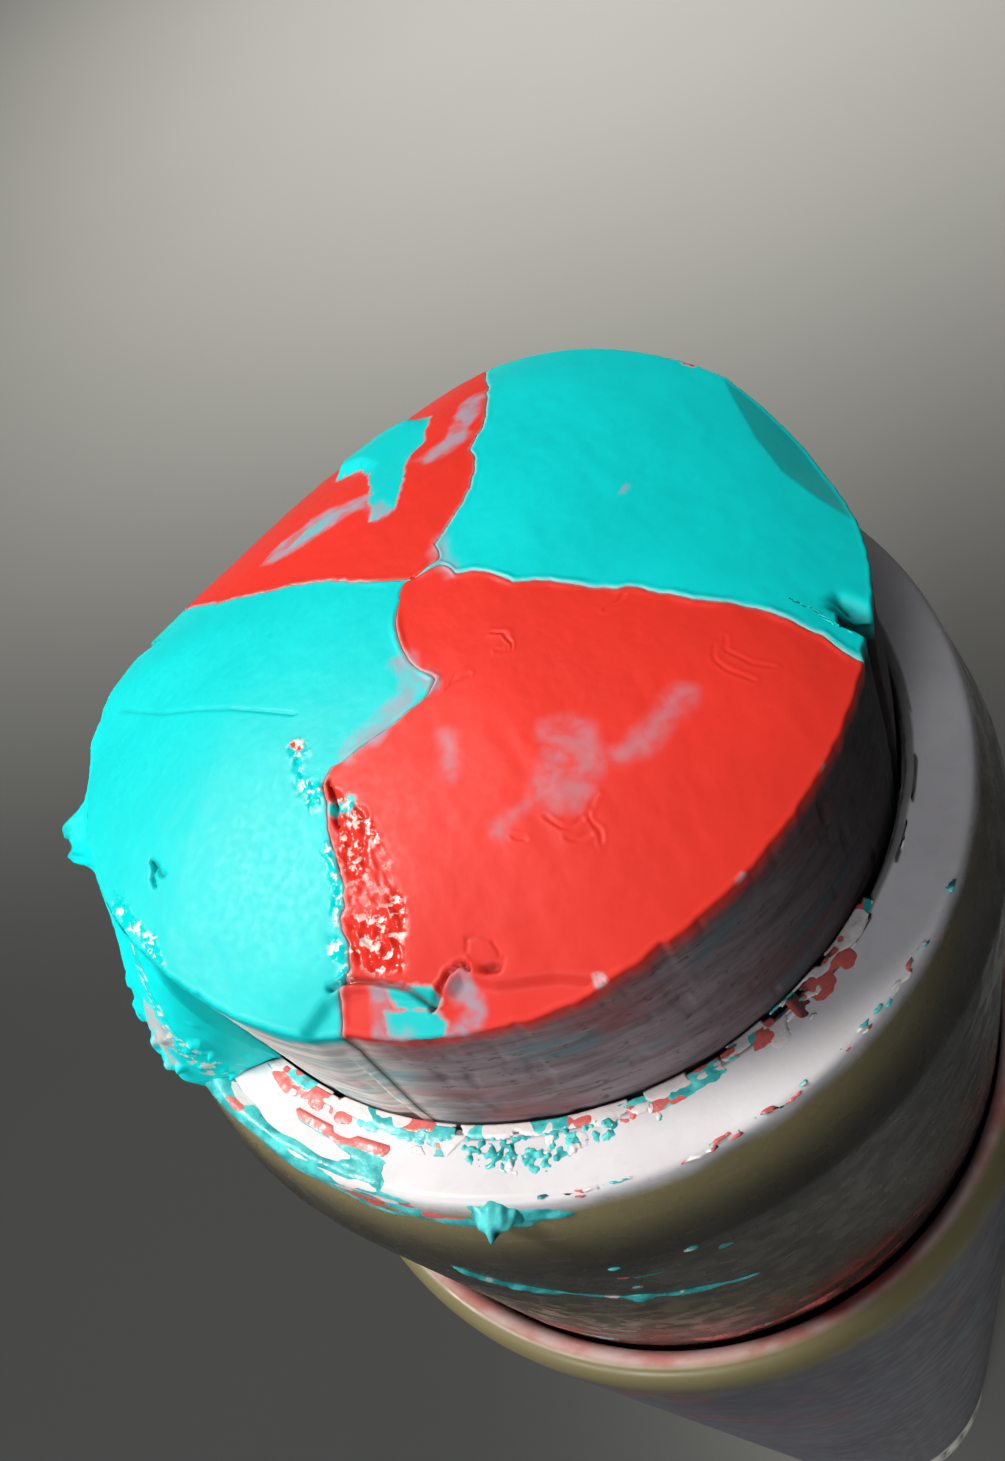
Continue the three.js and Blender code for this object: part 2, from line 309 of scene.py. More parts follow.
def paint(name, colour, other):
    """Waxy solid paint. Fields on the mesh say where the other colour, haze, film, painted glints and the
    painted shade of creases lie.
    """
    f = Finish(name, 0.4, Specular_IOR_Level=0.3, Subsurface_Weight=0.1,
               Subsurface_Radius=(0.5, 0.35, 0.3), Subsurface_Scale=0.5 * MM)
    fine = f.noise(0.12, 4)
    cloud = f.noise(2.4, 3)
    base = f.mix(f.band(cloud, 0.3, 0.75), tint(colour, 0.94), tint(colour, 1.05))
    ragged = f.math("ADD", f.field("other"), f.times(f.math("SUBTRACT", fine, 0.5), 0.14))
    edge = f.times(f.band(ragged, -0.06, -0.01), 0.6)
    base = f.mix(edge, base, PATCH_EDGE)
    base = f.mix(f.band(ragged, -0.015, 0.02), base, tint(other, 0.93))
    haze = f.times(f.field("haze"), f.band(f.noise(0.3, 4, distortion=0.5), 0.3, 0.6, 0.35, 1))
    base = f.mix(haze, base, HAZE)
    line = f.times(f.field("line"), f.band(fine, 0.3, 0.6, 0.25, 0.75))
    base = f.mix(line, base, SEAM_LINE)
    # Painted highlights: white glints dotted over the wet crumbs and wet streaks.
    crumbs_and_glints = f.times(f.field("wet_and_glints"), f.band(f.noise(0.13, 3), 0.56, 0.62))
    base = f.mix(f.times(crumbs_and_glints, 0.85), base, GLINT_WHITE)
    base = f.mix(f.field("film"), base, wall_film(f))
    # Painted shade in the face's cuts and the side's grooves and seams.
    base = f.mix(f.times(f.field("dark"), 0.85), base, tint(colour, 0.1))
    wet_and_glints = f.times(f.field("wet_and_glints"), 0.34)
    matte = f.times(f.field("film"), 0.15)
    gloss = f.math("ADD", f.math("SUBTRACT", f.band(fine, 0.25, 0.75, 0.44, 0.54), wet_and_glints), matte)
    normal = f.bump(f.noise(0.05, 5), 0.003, 0.4)
    return f.finish(base, normal, gloss)


def smear(name):
    """Paint wiped over the plastic: turquoise, red and white by the fields on its mesh."""
    f = Finish(name, 0.35, Specular_IOR_Level=0.5)
    fine = f.noise(0.09, 4)
    jitter = f.times(f.math("SUBTRACT", fine, 0.5), 0.5)
    teal = f.mix(f.band(f.noise(0.3, 4), 0.35, 0.65), (0.02, 0.36, 0.37, 1), (0.1, 0.66, 0.66, 1))
    base = f.mix(f.band(f.math("ADD", f.field("red"), jitter), 0.4, 0.6), teal, (0.66, 0.13, 0.115, 1))
    base = f.mix(f.band(f.math("ADD", f.field("white"), jitter), 0.45, 0.6), base, (0.75, 0.7, 0.7, 1))
    base = f.mix(f.field("dark"), base, (0.01, 0.035, 0.04, 1))
    normal = f.bump(f.noise(0.06, 4), 0.012, 0.7)
    return f.finish(base, normal, f.band(fine, 0.3, 0.7, 0.2, 0.5))


def tube_plastic():
    """Natural plastic: pale on the rim's top, with painted shade on the wall below it and in the bore, and a
    painted glow where light soaks into the wall just below the rim.
    """
    f = Finish("natural_plastic", 0.3, Specular_IOR_Level=0.25, Subsurface_Weight=0.15,
               Subsurface_Radius=(1.0, 0.85, 0.5), Subsurface_Scale=0.6 * MM)
    cloud = f.noise(1.8, 3)
    grain = f.noise(0.35, 5, stretch=(0.25, 0.25, 1))
    # Painted shade: the wall below the rim gets a near black colour for the shade it lies in; the rim's top
    # keeps the plastic's own pale colour.
    wall = f.mix(f.band(cloud, 0.3, 0.7), (0.035, 0.033, 0.026, 1), (0.05, 0.047, 0.037, 1))
    # Painted light: an olive glow where light soaks into the wall just below the rim.
    wall = f.mix(f.times(f.field("painted_glow"), 0.9), wall, (0.3, 0.25, 0.12, 1))
    rim = f.mix(f.band(cloud, 0.35, 0.7), (0.7, 0.67, 0.69, 1), (0.76, 0.74, 0.76, 1))
    base = f.mix(f.field("rim"), wall, rim)
    stain = f.times(f.field("stain"), f.band(grain, 0.45, 0.62))
    base = f.mix(f.times(stain, 0.8), base, (0.4, 0.05, 0.045, 1))
    patchy = f.band(f.noise(1.2, 5, stretch=(1, 1, 0.5)), 0.45, 0.65, 0.1, 0.8)
    soil = f.mix(f.band(f.noise(2.6, 2), 0.48, 0.52), (0.25, 0.07, 0.06, 1), (0.05, 0.22, 0.22, 1))
    base = f.mix(f.times(f.field("bore"), patchy), base, soil)
    scratch = f.band(f.noise(0.16, 2, stretch=(0.1, 0.1, 2.2)), 0.66, 0.72)
    base = f.mix(f.times(scratch, 0.1), base, (0.5, 0.49, 0.46, 1))
    normal = f.bump(f.noise(0.07, 3), 0.004, 0.4)
    normal = f.bump(grain, 0.005, 0.15, under=normal)
    return f.finish(base, normal, f.band(f.noise(0.5, 4), 0.3, 0.7, 0.2, 0.38))


def sleeve_plastic():
    """The outer sleeve: slate grey, with a translucent lip smudged with paint, the lip painted bright as light
    through it, and a painted olive glow below the lip.
    """
    f = Finish("sleeve_plastic", 0.4, Specular_IOR_Level=0.5)
    base = f.mix(f.band(f.noise(6, 3), 0.35, 0.65), (0.1, 0.1, 0.125, 1), (0.14, 0.14, 0.17, 1))
    smudge = f.band(f.noise(3.5, 6, distortion=0.7), 0.56, 0.68, 0, 0.5)
    base = f.mix(f.times(smudge, f.field("used")), base, (0.3, 0.1, 0.09, 1))
    thumb = f.band(f.noise(2.2, 6, stretch=(1, 1, 0.6), distortion=0.5), 0.58, 0.68, 0, 0.5)
    base = f.mix(f.times(thumb, f.field("used")), base, (0.05, 0.25, 0.25, 1))
    # Painted light: an olive glow of light through the plastic just below the lip.
    base = f.mix(f.field("edge"), base, (0.2, 0.17, 0.08, 1))
    # The lip's pink is a paint stain, painted bright as light glowing through the translucent lip.
    pink = f.mix(f.band(f.noise(0.7, 4), 0.3, 0.65), (0.72, 0.3, 0.27, 1), (0.82, 0.62, 0.58, 1))
    base = f.mix(f.field("lip"), base, pink)
    scratch = f.band(f.noise(0.22, 2, stretch=(1, 1, 0.03)), 0.68, 0.74, 0, 0.08)
    base = f.mix(scratch, base, (0.25, 0.25, 0.28, 1))
    normal = f.bump(f.noise(0.1, 4), 0.006, 0.4)
    return f.finish(base, normal, f.band(f.noise(0.8, 4), 0.3, 0.7, 0.32, 0.5))


def plain_plastic(name, colour, worn):
    """Satin moulded plastic with faint mottling and grime, or wear, in a second tone."""
    f = Finish(name, 0.45, Specular_IOR_Level=0.5)
    base = f.mix(f.band(f.noise(4, 3), 0.3, 0.7), tint(colour, 0.95), tint(colour, 1.04))
    grime = f.band(f.noise(1.4, 6, distortion=0.5), 0.56, 0.72, 0, 0.5)
    base = f.mix(grime, base, worn)
    normal = f.bump(f.noise(0.12, 4), 0.008, 0.5)
    return f.finish(base, normal, f.band(f.noise(0.6, 4), 0.3, 0.7, 0.36, 0.58))


# ---- The stick's worn end ----

EDGE_HEIGHTS = (        # angle in degrees, height above the rim in mm
    (6, 3.65), (22, 3.75), (42, 3.8), (60, 3.6), (80, 2.9), (112, 2.45), (132, 2.75), (150, 3.4), (175, 3.7),
    (200, 3.7), (215, 3.55), (232, 3.4), (255, 3.15), (280, 3.4), (312, 3.7), (335, 3.5), (352, 3.45),
)
SEAMS = {               # radius in mm, angle in degrees: where each pair of wedges meets
    "front_right": (
        (0, 354), (0.45, 354), (0.55, 342), (0.67, 326), (0.91, 329), (1.23, 324.3), (1.57, 319), (1.85, 320.5),
        (2.71, 320.1), (3.17, 321), (4.4, 320), (4.82, 320.4), (5.37, 318.4), (5.82, 317), (6.3, 314.8),
    ),
    "front_left": (
        (0, 168), (0.12, 170), (0.22, 195), (0.41, 219), (0.94, 234), (1.43, 244.3), (1.64, 250), (1.88, 257),
        (2.09, 251.6), (2.27, 243.6), (2.53, 235.7), (2.83, 228.2), (3.06, 223), (3.31, 222), (3.52, 225),
        (3.87, 227.2), (4.22, 230.2), (4.56, 232.6), (4.98, 232.9), (5.22, 234.3), (5.55, 234.6), (5.8, 233.2),
        (6.3, 234),
    ),
    "back_left": (
        (0, 154), (0.12, 154), (0.3, 146), (1.4, 138.7), (2.7, 137.4), (4.4, 135.6), (6.2, 130),
    ),
    "back_right": (
        (0, 5), (0.42, 5), (0.5, 12), (0.66, 37.7), (1.35, 38.5), (1.9, 40), (2.3, 43.5), (2.9, 51),
        (3.5, 51.2), (5.5, 57.9), (6.2, 60),
    ),
}
CRACK = ((-5.3, 2.2), (-4.4, 1.0), (-3.9, 0.5), (-3.0, -0.4), (-2.4, -1.0))
FACET = ((5.8, -2.07), (5.61, -1.52), (5.49, -0.84), (5.56, -0.02), (5.8, 1.05), (6.13, 2.24))
SPLIT = ((-2.35, -2.25), (-2.4, -2.5), (-2.5, -2.85))
LIP_CREASE = ((-3.53, -4.56), (-3.32, -4.61), (-3.13, -4.68), (-2.93, -4.82), (-2.66, -5.04), (-2.45, -5.35))
HOOK = ((-2.5, -5.38), (-2.18, -5.27), (-1.95, -5.17), (-1.84, -5.2), (-1.8, -5.3))
ARCH = ((-1.8, -5.05), (-1.69, -4.96), (-1.55, -5.02), (-1.4, -5.15), (-1.44, -5.27), (-1.41, -5.38),
        (-1.54, -5.42), (-1.69, -5.4))
NOTCH = ((4.72, -3.5), (4.85, -3.75), (4.95, -4.0))
LIP_BELOW = ((-3.7, -4.6),) + LIP_CREASE[1:5] + ((-2.18, -5.27), (-1.95, -5.2), (-1.6, -5.5), (-0.9, -5.8),
                                                 (0.3, -6.6), (-3, -7), (-5, -5))
CREASES = (
    ((-0.37, -2.06), (-0.2, -2.02), (0.03, -2.09)),
    ((0.56, -1.67), (0.71, -1.78), (0.65, -2.01), (0.51, -1.98)),
    ((-0.07, -4.28), (0.03, -4.5), (0.2, -4.58), (0.4, -4.55), (0.63, -4.4)),
    ((0.43, -4.55), (0.42, -4.75), (0.35, -4.9)),
    ((0.0, -4.62), (0.12, -4.72), (0.3, -4.74)),
    ((-0.53, -4.3), (-0.43, -4.38)),
    ((2.92, -3.36), (2.83, -3.6), (2.9, -3.8), (3.09, -4.06)),
    ((3.1, -3.3), (3.05, -3.55), (3.2, -3.85), (3.4, -4.0)),
)
SCRATCH = ((2.01, -2.17), (2.33, -2.06))
CRUMBS = (              # wet crumbs of red beside the lower part of the front left seam, with painted white glints
    (-2.3, -2.35), (-2.05, -2.9), (-1.98, -3.4), (-2.05, -3.9), (-2.2, -4.4), (-2.55, -4.95), (-2.95, -4.75),
    (-3.15, -4.4), (-3.0, -4.0), (-2.7, -3.5), (-2.6, -3.0), (-2.5, -2.5),
)
DAMP = ((-2.55, -1.5), (-2.75, -2.0), (-2.6, -2.3))
SPARKS = (              # wet turquoise along the seam and along the left edge, with painted white glints
    ((-2.75, -3.0), (-2.85, -3.6), (-3.15, -4.1), (-3.3, -4.5)),
    ((-6.05, -1.3), (-5.97, -1.82), (-5.7, -2.54), (-5.6, -2.84)),
)
LIP_PATCHES = (         # turquoise smeared on the red lip, above and below its fold
    ((-2.87, -4.88), (-2.6, -5.06), (-2.33, -5.24), (-2.34, -5.33), (-2.49, -5.36), (-2.8, -5.2),
     (-2.9, -5.05)),
    ((-3.04, -5.11), (-2.77, -5.25), (-2.45, -5.45), (-2.38, -5.62), (-2.5, -5.75), (-2.85, -5.6),
     (-3.11, -5.34)),
)
LIP_GREYS = (
    ((-3.0, -4.9), (-3.2, -5.25), (-2.9, -5.45)),
    ((-2.1, -5.4), (-1.95, -5.3), (-2.0, -5.5)),
    ((-2.4, -5.75), (-2.1, -5.72), (-1.95, -5.6)),
)
SMEARS = (              # (line, half its width): grey smears on the front
    (((0.55, -3.4), (0.85, -3.7), (0.78, -4.0), (0.45, -4.22), (0.15, -4.15), (0.1, -3.98),
      (0.4, -3.75)), 0.17),
    (((2.2, -3.84), (1.82, -3.97), (1.5, -4.1), (1.15, -4.1)), 0.15),
    (((-0.64, -4.09), (-0.6, -4.02)), 0.09),
    (((-0.45, -4.05), (-0.15, -4.02)), 0.04),
    (((-0.83, -3.09), (-0.74, -2.9), (-0.68, -2.68)), 0.12),
)
LAVENDER = (            # (line, half its width) beside the seams
    (((-0.72, -1.3), (-0.75, -1.6), (-0.95, -1.85), (-1.4, -2.0), (-1.9, -2.05)), 0.17),
    (((-0.55, -1.75), (-0.5, -1.85)), 0.14),
    (((0.5, -0.3), (0.5, 0.1), (0.62, 0.5)), 0.09),
    (((1.25, 2.75), (1.75, 2.8), (2.0, 3.2), (2.45, 4.0)), 0.22),
    (((0.1, 1.8), (0.08, 2.15)), 0.14),
)
STROKE = (              # grey haze wiped over the red at the back
    (-2.11, 3.1), (-1.61, 3.45), (-0.99, 3.5), (-0.6, 3.3), (-0.36, 3.0), (-0.05, 2.9), (0.1, 2.75),
    (-0.04, 2.3), (-0.46, 2.5), (-0.96, 2.55), (-1.44, 2.66), (-1.88, 2.81),
)
BACK_PATCHES = (        # turquoise lying on the red at the back
    ((1.66, 4.45), (1.32, 3.44), (1.01, 3.25), (0.78, 2.91), (0.5, 2.2), (0.28, 1.77), (0.1, 1.82),
     (-0.08, 1.9), (0.01, 2.43), (0.07, 2.84), (0.28, 3.75), (0.1, 4.3), (-0.3, 4.8), (-0.2, 5.3), (0.7, 5.5),
     (1.5, 5.1)),
    ((-1.55, 2.92), (-1.08, 3.12), (-0.67, 3.03), (-0.44, 2.76), (-0.78, 2.74), (-1.16, 2.72), (-1.44, 2.78)),
)
LIP_BITS = ((3.18, -5.4), (1.6, -6.12), (-0.5, -6.15))      # small pale bits left on the front edge
RED_FLICK = ((-2.5, -2.62), (-2.3, -2.72), (-2.2, -2.66))   # specks of the other paint
LEFT_SPECK = ((-2.62, -1.45), (-2.55, -1.55))
EDGE_SPECK = ((5.75, 2.3), (5.72, 2.42))
GREY_NICK = ((3.25, -0.28), (3.38, -0.18))
LIP_TUCK = ((-1.62, -5.38), (-1.52, -5.42))
PICKS = (((-5.25, -1.4), (-5.33, -1.62), (-5.3, -1.8)), ((-5.25, -1.4), (-5.2, -1.62), (-5.14, -1.74)))
CUTS = (                # (line, depth, half its width)
    (LIP_CREASE, 0.1, 0.035), (HOOK, 0.09, 0.028), (SPLIT, 0.08, 0.03), (CRACK, 0.025, 0.025),
    (ARCH, 0.025, 0.014), (LIP_TUCK, 0.08, 0.05), (PICKS[0], 0.09, 0.03), (PICKS[1], 0.07, 0.025),
    (NOTCH, 0.3, 0.13),
)
SEAM_LIFTS = {"front_right": 0.03, "front_left": 0.025, "back_left": 0.012, "back_right": 0.015}


def edge_height(angle):
    """Height of the face's edge above the rim, smooth all the way round."""
    known, heights = np.array(EDGE_HEIGHTS).T
    every = np.interp(np.arange(360), known, heights, period=360)
    weights = np.exp(-(np.arange(-20, 21) / 9.0) ** 2)
    soft = sum(w * np.roll(every, k) for k, w in zip(range(-20, 21), weights)) / weights.sum()
    return np.interp(angle, np.arange(361), np.append(soft, soft[0]), period=360)


def seam(name, r):
    """Angle of a seam at a radius, with the small wander of a poured edge."""
    radii, angles = np.array(SEAMS[name]).T
    wander = rough(flat(r, 7.0 * len(name), 0), 0.3, 3, seed=5) * 0.035 * ramp(r, 0.4, 1.2)
    return np.interp(r, radii, angles) + np.degrees(wander / np.maximum(r, 0.4))


def to_seam(x, y, name):
    """Distance from a seam, across it."""
    r, angle = polar(x, y)
    return np.abs(apart(angle, seam(name, r))) * math.pi / 180 * r


def outline(angle):
    """Radius of the stick at an angle: fuller where it fills the bore, and grooved for the tube's ribs."""
    r = STICK_R + 0.015 * rough(spun(STICK_R, angle), 1.5, 2, seed=11)
    r = r + (FULL_R - STICK_R) * window(angle, 150, 231, 4)
    for rib in RIB_ANGLES:
        across = np.radians(apart(angle, rib)) * STICK_R
        r = r - (STICK_R - RIB_TIP_R + GROOVE_PLAY) * window(across, -GROOVE_HALF, GROOVE_HALF, 0.04)
    return r


def chips(angle):
    """Depth of the chips broken out of the top edge at an angle."""
    at = spun(STICK_R, angle)
    return 0.05 * ramp(rough(at, 0.35, 2, seed=12), 0.5, 1.0) + 0.012 * rough(at, 0.15, 2, seed=13)


def crown(x, y):
    """Height of the worn face above the rim."""
    r, angle = polar(x, y)
    spread = (r / STICK_R) ** 2
    z = APEX - 0.03 - (APEX - edge_height(angle)) * spread
    left = (x * 0.75 + y * -0.66) * -1 - 2.35
    z = z - 0.055 * np.maximum(left, 0) * window(angle, 158, 226, 8) * ramp(r, 1.5, 3)
    chord = np.interp(y, [p[1] for p in FACET], [p[0] for p in FACET])
    z = z - 0.42 * np.maximum(x - chord, 0) * (y > -2.6) * (y < 2.8) * (x > 0)
    z = z - 0.12 * ramp(inside(x, y, LIP_BELOW), 0, 0.16)
    z = z + 0.2 * ramp(inside(x, y, BACK_PATCHES[0]), -0.05, 0.25) * ramp(y - 0.6 * x, 3.0, 4.6)
    places = flat(x, y)
    z = z + 0.022 * rough(places, 2.2, 2, seed=1) + 0.0035 * rough(places, 0.3, 3, seed=2)
    return z + 0.003 * noise(places * (1, 0.3, 1), 0.2, seed=3)


def relief(x, y):
    """Small shapes on the face, and the fields that colour them, with painted shade in the cuts and painted
    glints on the wet parts.
    """
    places = flat(x, y)
    grit = rough(places, 0.085, 2, seed=21)
    jig = 0.04 * rough(places, 0.22, 2, seed=22)
    sx, sy = x + jig, y - jig
    clumps = 0.35 + 0.65 * ramp(rough(places, 0.55, 2, seed=25), -0.5, 0.3)
    crumbs_and_glints = ramp(inside(sx, sy, CRUMBS), -0.03, 0.1) * clumps
    damp = ramp(0.2 + jig * 2 - near(x, y, DAMP), 0, 0.15)
    for line in SPARKS:
        damp = np.maximum(damp, ramp(0.13 + jig * 2 - near(x, y, line), 0, 0.1))
    wet_and_glints = np.maximum(crumbs_and_glints, damp)
    z = (0.035 * crumbs_and_glints + 0.03 * damp) * grit - 0.02 * crumbs_and_glints
    # Painted shade: the cuts are darkened, the more the deeper they are.
    dark = np.zeros_like(x)
    for line, depth, width in CUTS:
        cut = np.exp(-(near(sx, sy, line) / width) ** 2)
        z = z - depth * cut
        dark = np.maximum(dark, cut * min(1, depth * 9))
    z = z + 0.015 * np.exp(-((near(sx, sy, HOOK) - 0.06) / 0.03) ** 2)
    for line in CREASES + (SCRATCH,):
        gap = near(sx, sy, line)
        z = z - 0.01 * np.exp(-(gap / 0.02) ** 2) + 0.006 * np.exp(-((gap - 0.05) / 0.025) ** 2)
    for name, lift in SEAM_LIFTS.items():
        gap = to_seam(x, y, name)
        z = z + lift * np.exp(-((gap - 0.05) / 0.05) ** 2) * (0.4 + 0.6 * noise(places, 0.3, seed=24))
        z = z - 0.01 * np.exp(-(gap / 0.025) ** 2)
    return z, dark, wet_and_glints


def face_fields(x, y, wedge):
    """Where other paint, haze and pale lines lie on one wedge's face."""
    places = flat(x, y)
    jig = 0.06 * rough(places, 0.3, 3, seed=31)
    other = np.full(np.shape(x), -1.0)
    haze = np.zeros_like(x)
    if wedge == "paint_red_back":
        other = np.maximum.reduce([inside(x + jig, y + jig, p) for p in BACK_PATCHES])
        haze = 0.85 * ramp(inside(x + jig, y - jig, STROKE), -0.08, 0.12)
    if wedge == "paint_red_front":
        other = np.maximum.reduce([inside(x + jig, y - jig, p) for p in LIP_PATCHES])
        other = np.maximum(other, 0.07 - near(x + jig, y, RED_FLICK))
        for line in LIP_GREYS:
            haze = np.maximum(haze, 0.8 * ramp(0.14 - near(x + jig, y + jig, line), -0.05, 0.1))
        for line, half in SMEARS:
            haze = np.maximum(haze, 0.42 * ramp(half - near(x + jig, y + jig, line), -0.14, 0.14))
    if wedge == "paint_turquoise_left":
        other = 0.05 - near(x + jig, y + jig, LEFT_SPECK)
    if wedge == "paint_turquoise_right":
        other = 0.06 - near(x + jig, y, EDGE_SPECK)
        haze = 0.7 * ramp(0.04 - near(x, y, GREY_NICK), -0.03, 0.03)
    for line, half in LAVENDER:
        haze = np.maximum(haze, 0.85 * ramp(half - near(x + jig, y - jig, line), -0.1, 0.12))
    gap = np.minimum.reduce([to_seam(x, y, name) for name in SEAMS])
    line = np.exp(-(gap / 0.028) ** 2) * ramp(np.hypot(x, y), 0.5, 0.9)
    for bx, by in LIP_BITS:
        line = np.maximum(line, 1.3 * ramp(0.08 - np.hypot(x - bx, y - by) + jig, -0.02, 0.06))
    return other, haze, line


def overhang(angle):
    """Height above the rim down to which turquoise covers the stick's side."""
    known = (120, 132, 145, 196, 203, 207, 215, 226, 233)
    return np.interp(angle, known, (1.6, 0.6, -0.6, -0.6, 1.2, 2.7, 2.9, 3.1, 3.35))


FACE_ROWS = 200
SIDE_ROWS = 60
LOW_ROWS = 12
UNDER_STEP = 4          # the underside has a row for every so many of the face's
CENTRE_R = 0.03
SLIT_HALF = 0.005       # half the gap between two wedges
SIDE_DEPTH = 5.5        # span that the fine rows of the side are shared out over
SIDE_FOOT = -4.4        # where those rows end, from the rim
RADII = CENTRE_R + (STICK_R - CENTRE_R) * np.linspace(0, 1, FACE_ROWS)
UNDERSIDE = (           # (radius, height of the underside beyond it): the cup, the foot, the nut, the screw
    (4.9, CUP_TOP - RIM + 0.2), (3.7, STICK_LOW - RIM), (2.6, CUP_LOW - RIM + 7.3), (0, 1.2),
)


def underside(r):
    """Height of the stepped underside above the rim."""
    return next(height for beyond, height in UNDERSIDE if r > beyond)


def under_rows():
    """The face's rows that the underside repeats, from the side inwards, with both edges of each step."""
    level = [underside(r) for r in RADII]
    kept = [FACE_ROWS - UNDER_STEP]
    for k in range(FACE_ROWS - 2 * UNDER_STEP, 0, -UNDER_STEP):
        if level[k] != level[kept[-1]]:
            k_in = next(j for j in range(kept[-1], 0, -1) if level[j] != level[kept[-1]])
            if k_in + 1 < kept[-1]:
                kept.append(k_in + 1)
            kept.append(k_in)
        if k < kept[-1]:
            kept.append(k)
    return kept + [0]


def wedge_ends(under, side_end, count, columns):
    """Strips that close the wedge's two cut faces, from its top to its underside."""
    strips = []
    walk = [(FACE_ROWS - 1, None)] + list(zip(under, range(side_end, count)))
    for (k0, row0), (k1, row1) in zip(walk, walk[1:]):
        bottom = list(range(FACE_ROWS, side_end)) if row0 is None else [row0]
        ring = list(range(k1, k0 + 1)) + bottom + [row1]
        strips.append([i * columns for i in ring])
        strips.append([i * columns + columns - 1 for i in reversed(ring)])
    return strips


def wedge_rows(start, end, columns):
    """The wedge's rows: radius, angle, how the height is found, and a height or share for that."""
    share = np.linspace(0, 1, columns)

    def angles(r):
        slit = math.degrees(SLIT_HALF / max(r, 0.3))
        first, last = seam(start, r) + slit, seam(end, r) - slit
        return first + ((last - first) % 360) * share

    edge_angle = angles(STICK_R)
    edge = outline(edge_angle)
    broken = chips(edge_angle)
    plain = (edge < STICK_R + 0.06) * (edge > STICK_R - 0.06)
    rows = []
    for r in RADII:
        pull = (r / STICK_R) ** 8
        rows.append((r - (STICK_R - edge + broken + LIP_ROUND) * pull, angles(r), "face", 0))
    for turn in (25, 50, 75, 90):
        a = math.radians(turn)
        r, drop = edge - broken - LIP_ROUND * (1 - math.sin(a)), LIP_ROUND * (1 - math.cos(a))
        rows.append((r, edge_angle, "lip", drop))
    lip_end = len(rows)
    for depth in np.linspace(0.04, SIDE_DEPTH, SIDE_ROWS):
        heal = float(ramp(depth, 0.05, 0.7))
        flare = (FULL_R - STICK_R) * float(ramp(depth, 0.2, 2.2)) * plain
        rows.append((edge - broken * (1 - heal) + flare, edge_angle, "side", depth / SIDE_DEPTH))
    for z in np.linspace(SIDE_FOOT - 0.1, underside(STICK_R), LOW_ROWS):
        rows.append((edge + flare, edge_angle, "at", z))
    side_end = len(rows)
    under = under_rows()
    for k in under:
        rows.append((np.full(columns, RADII[k]), angles(RADII[k]), "at", underside(RADII[k])))
    return rows, lip_end, side_end, under, edge_angle


def wedge(name, start, end, columns):
    """One quarter of the stick as a closed body: worn face, lip, side and underside."""
    rows, lip_end, side_end, under, edge_angle = wedge_rows(start, end, columns)
    r = np.array([row[0] for row in rows])
    angle = np.array([row[1] for row in rows])
    x, y = r * np.cos(np.radians(angle)), r * np.sin(np.radians(angle))
    bumps, dark, wet_and_glints = relief(x, y)
    face = crown(x, y) + bumps
    top = face[FACE_ROWS - 1]
    z = np.zeros_like(x)
    side_top = top - LIP_ROUND
    for i, (_, _, rule, value) in enumerate(rows):
        z[i] = {"face": face[i], "lip": top - value, "side": side_top - (side_top - SIDE_FOOT) * value,
                "at": np.full(columns, float(value))}[rule]
    # The side is scuffed in streaks round the stick, and turquoise bulges over it on the left.
    side = np.zeros_like(x)
    side[lip_end:side_end] = 1
    around = flat(x * 0.25, y * 0.25, z)
    at = flat(x, y, z)
    push = 0.005 * rough(around, 0.2, 3, seed=41) - 0.03 * ramp(rough(at, 0.3, 2, seed=42), 0.5, 0.9)
    cover = ramp(z - overhang(angle) + 0.2 * rough(at, 0.5, 3, seed=43), -0.05, 0.05)
    left = name == "paint_turquoise_left"
    if left:
        push = push + 0.04 * cover
    new_r = np.where(side > 0, np.minimum(r + push, FULL_R + 0.01), r)
    x, y = x * new_r / r, y * new_r / r

    other, haze, line = face_fields(x, y, name)
    down = top - z
    grey = side * ramp(down + 0.07 * rough(at, 0.25, 3, seed=44), 0.08, 0.42)
    if left:
        grey = grey * (1 - cover)
    worn = 1 - 0.75 * ramp(down + 0.8 * rough(around, 0.8, 2, seed=45), 4.5, 8)
    grey = grey * worn
    grey[side_end:] = 0.25
    # Painted shade on the side, in the rib grooves and beside the seams between wedges.
    groove = np.maximum(STICK_R - outline(angle), 0)
    dark = np.maximum(np.where(side > 0, 0.0, dark), side * ramp(groove, 0.1, 0.25))
    share = np.linspace(0, 1, columns)
    seam_shade = np.exp(-(np.minimum(share, 1 - share) * np.ptp(np.radians(edge_angle)) * STICK_R / 0.05) ** 2)
    dark = np.maximum(dark, side * seam_shade[None, :] * 0.9)
    fields = {
        "other": np.where(side > 0, -1, other), "haze": np.where(side > 0, 0, haze),
        "line": np.where(side > 0, 0, line), "dark": dark, "wet_and_glints": wet_and_glints * (1 - side), "film": grey,
        # Painted light and shade on the side's film: a lit copy on the left, near black on the shaded right.
        "painted_light_left": window(angle, 190, 236, 5) * side * worn,
        "painted_shade": ramp(angle, 250, 312) * (angle > 200) + (angle > 360),
    }
    places = flat(x, y, z + RIM)
    faces = grid_faces(len(rows), columns, loop_rows=True).tolist()
    faces += wedge_ends(under, side_end, len(rows), columns)
    colours = (RED, TURQUOISE) if "red" in name else (TURQUOISE, RED)
    slot = "red_paint" if "red" in name else "turquoise_paint"
    piece(name + "_worn", places, faces, "carriage", paint(name, *colours), fields, (name,))


def stick():
    wedge("paint_red_front", "front_left", "front_right", 300)
    wedge("paint_turquoise_right", "front_right", "back_right", 260)
    wedge("paint_red_back", "back_right", "back_left", 200)
    wedge("paint_turquoise_left", "back_left", "front_left", 280)


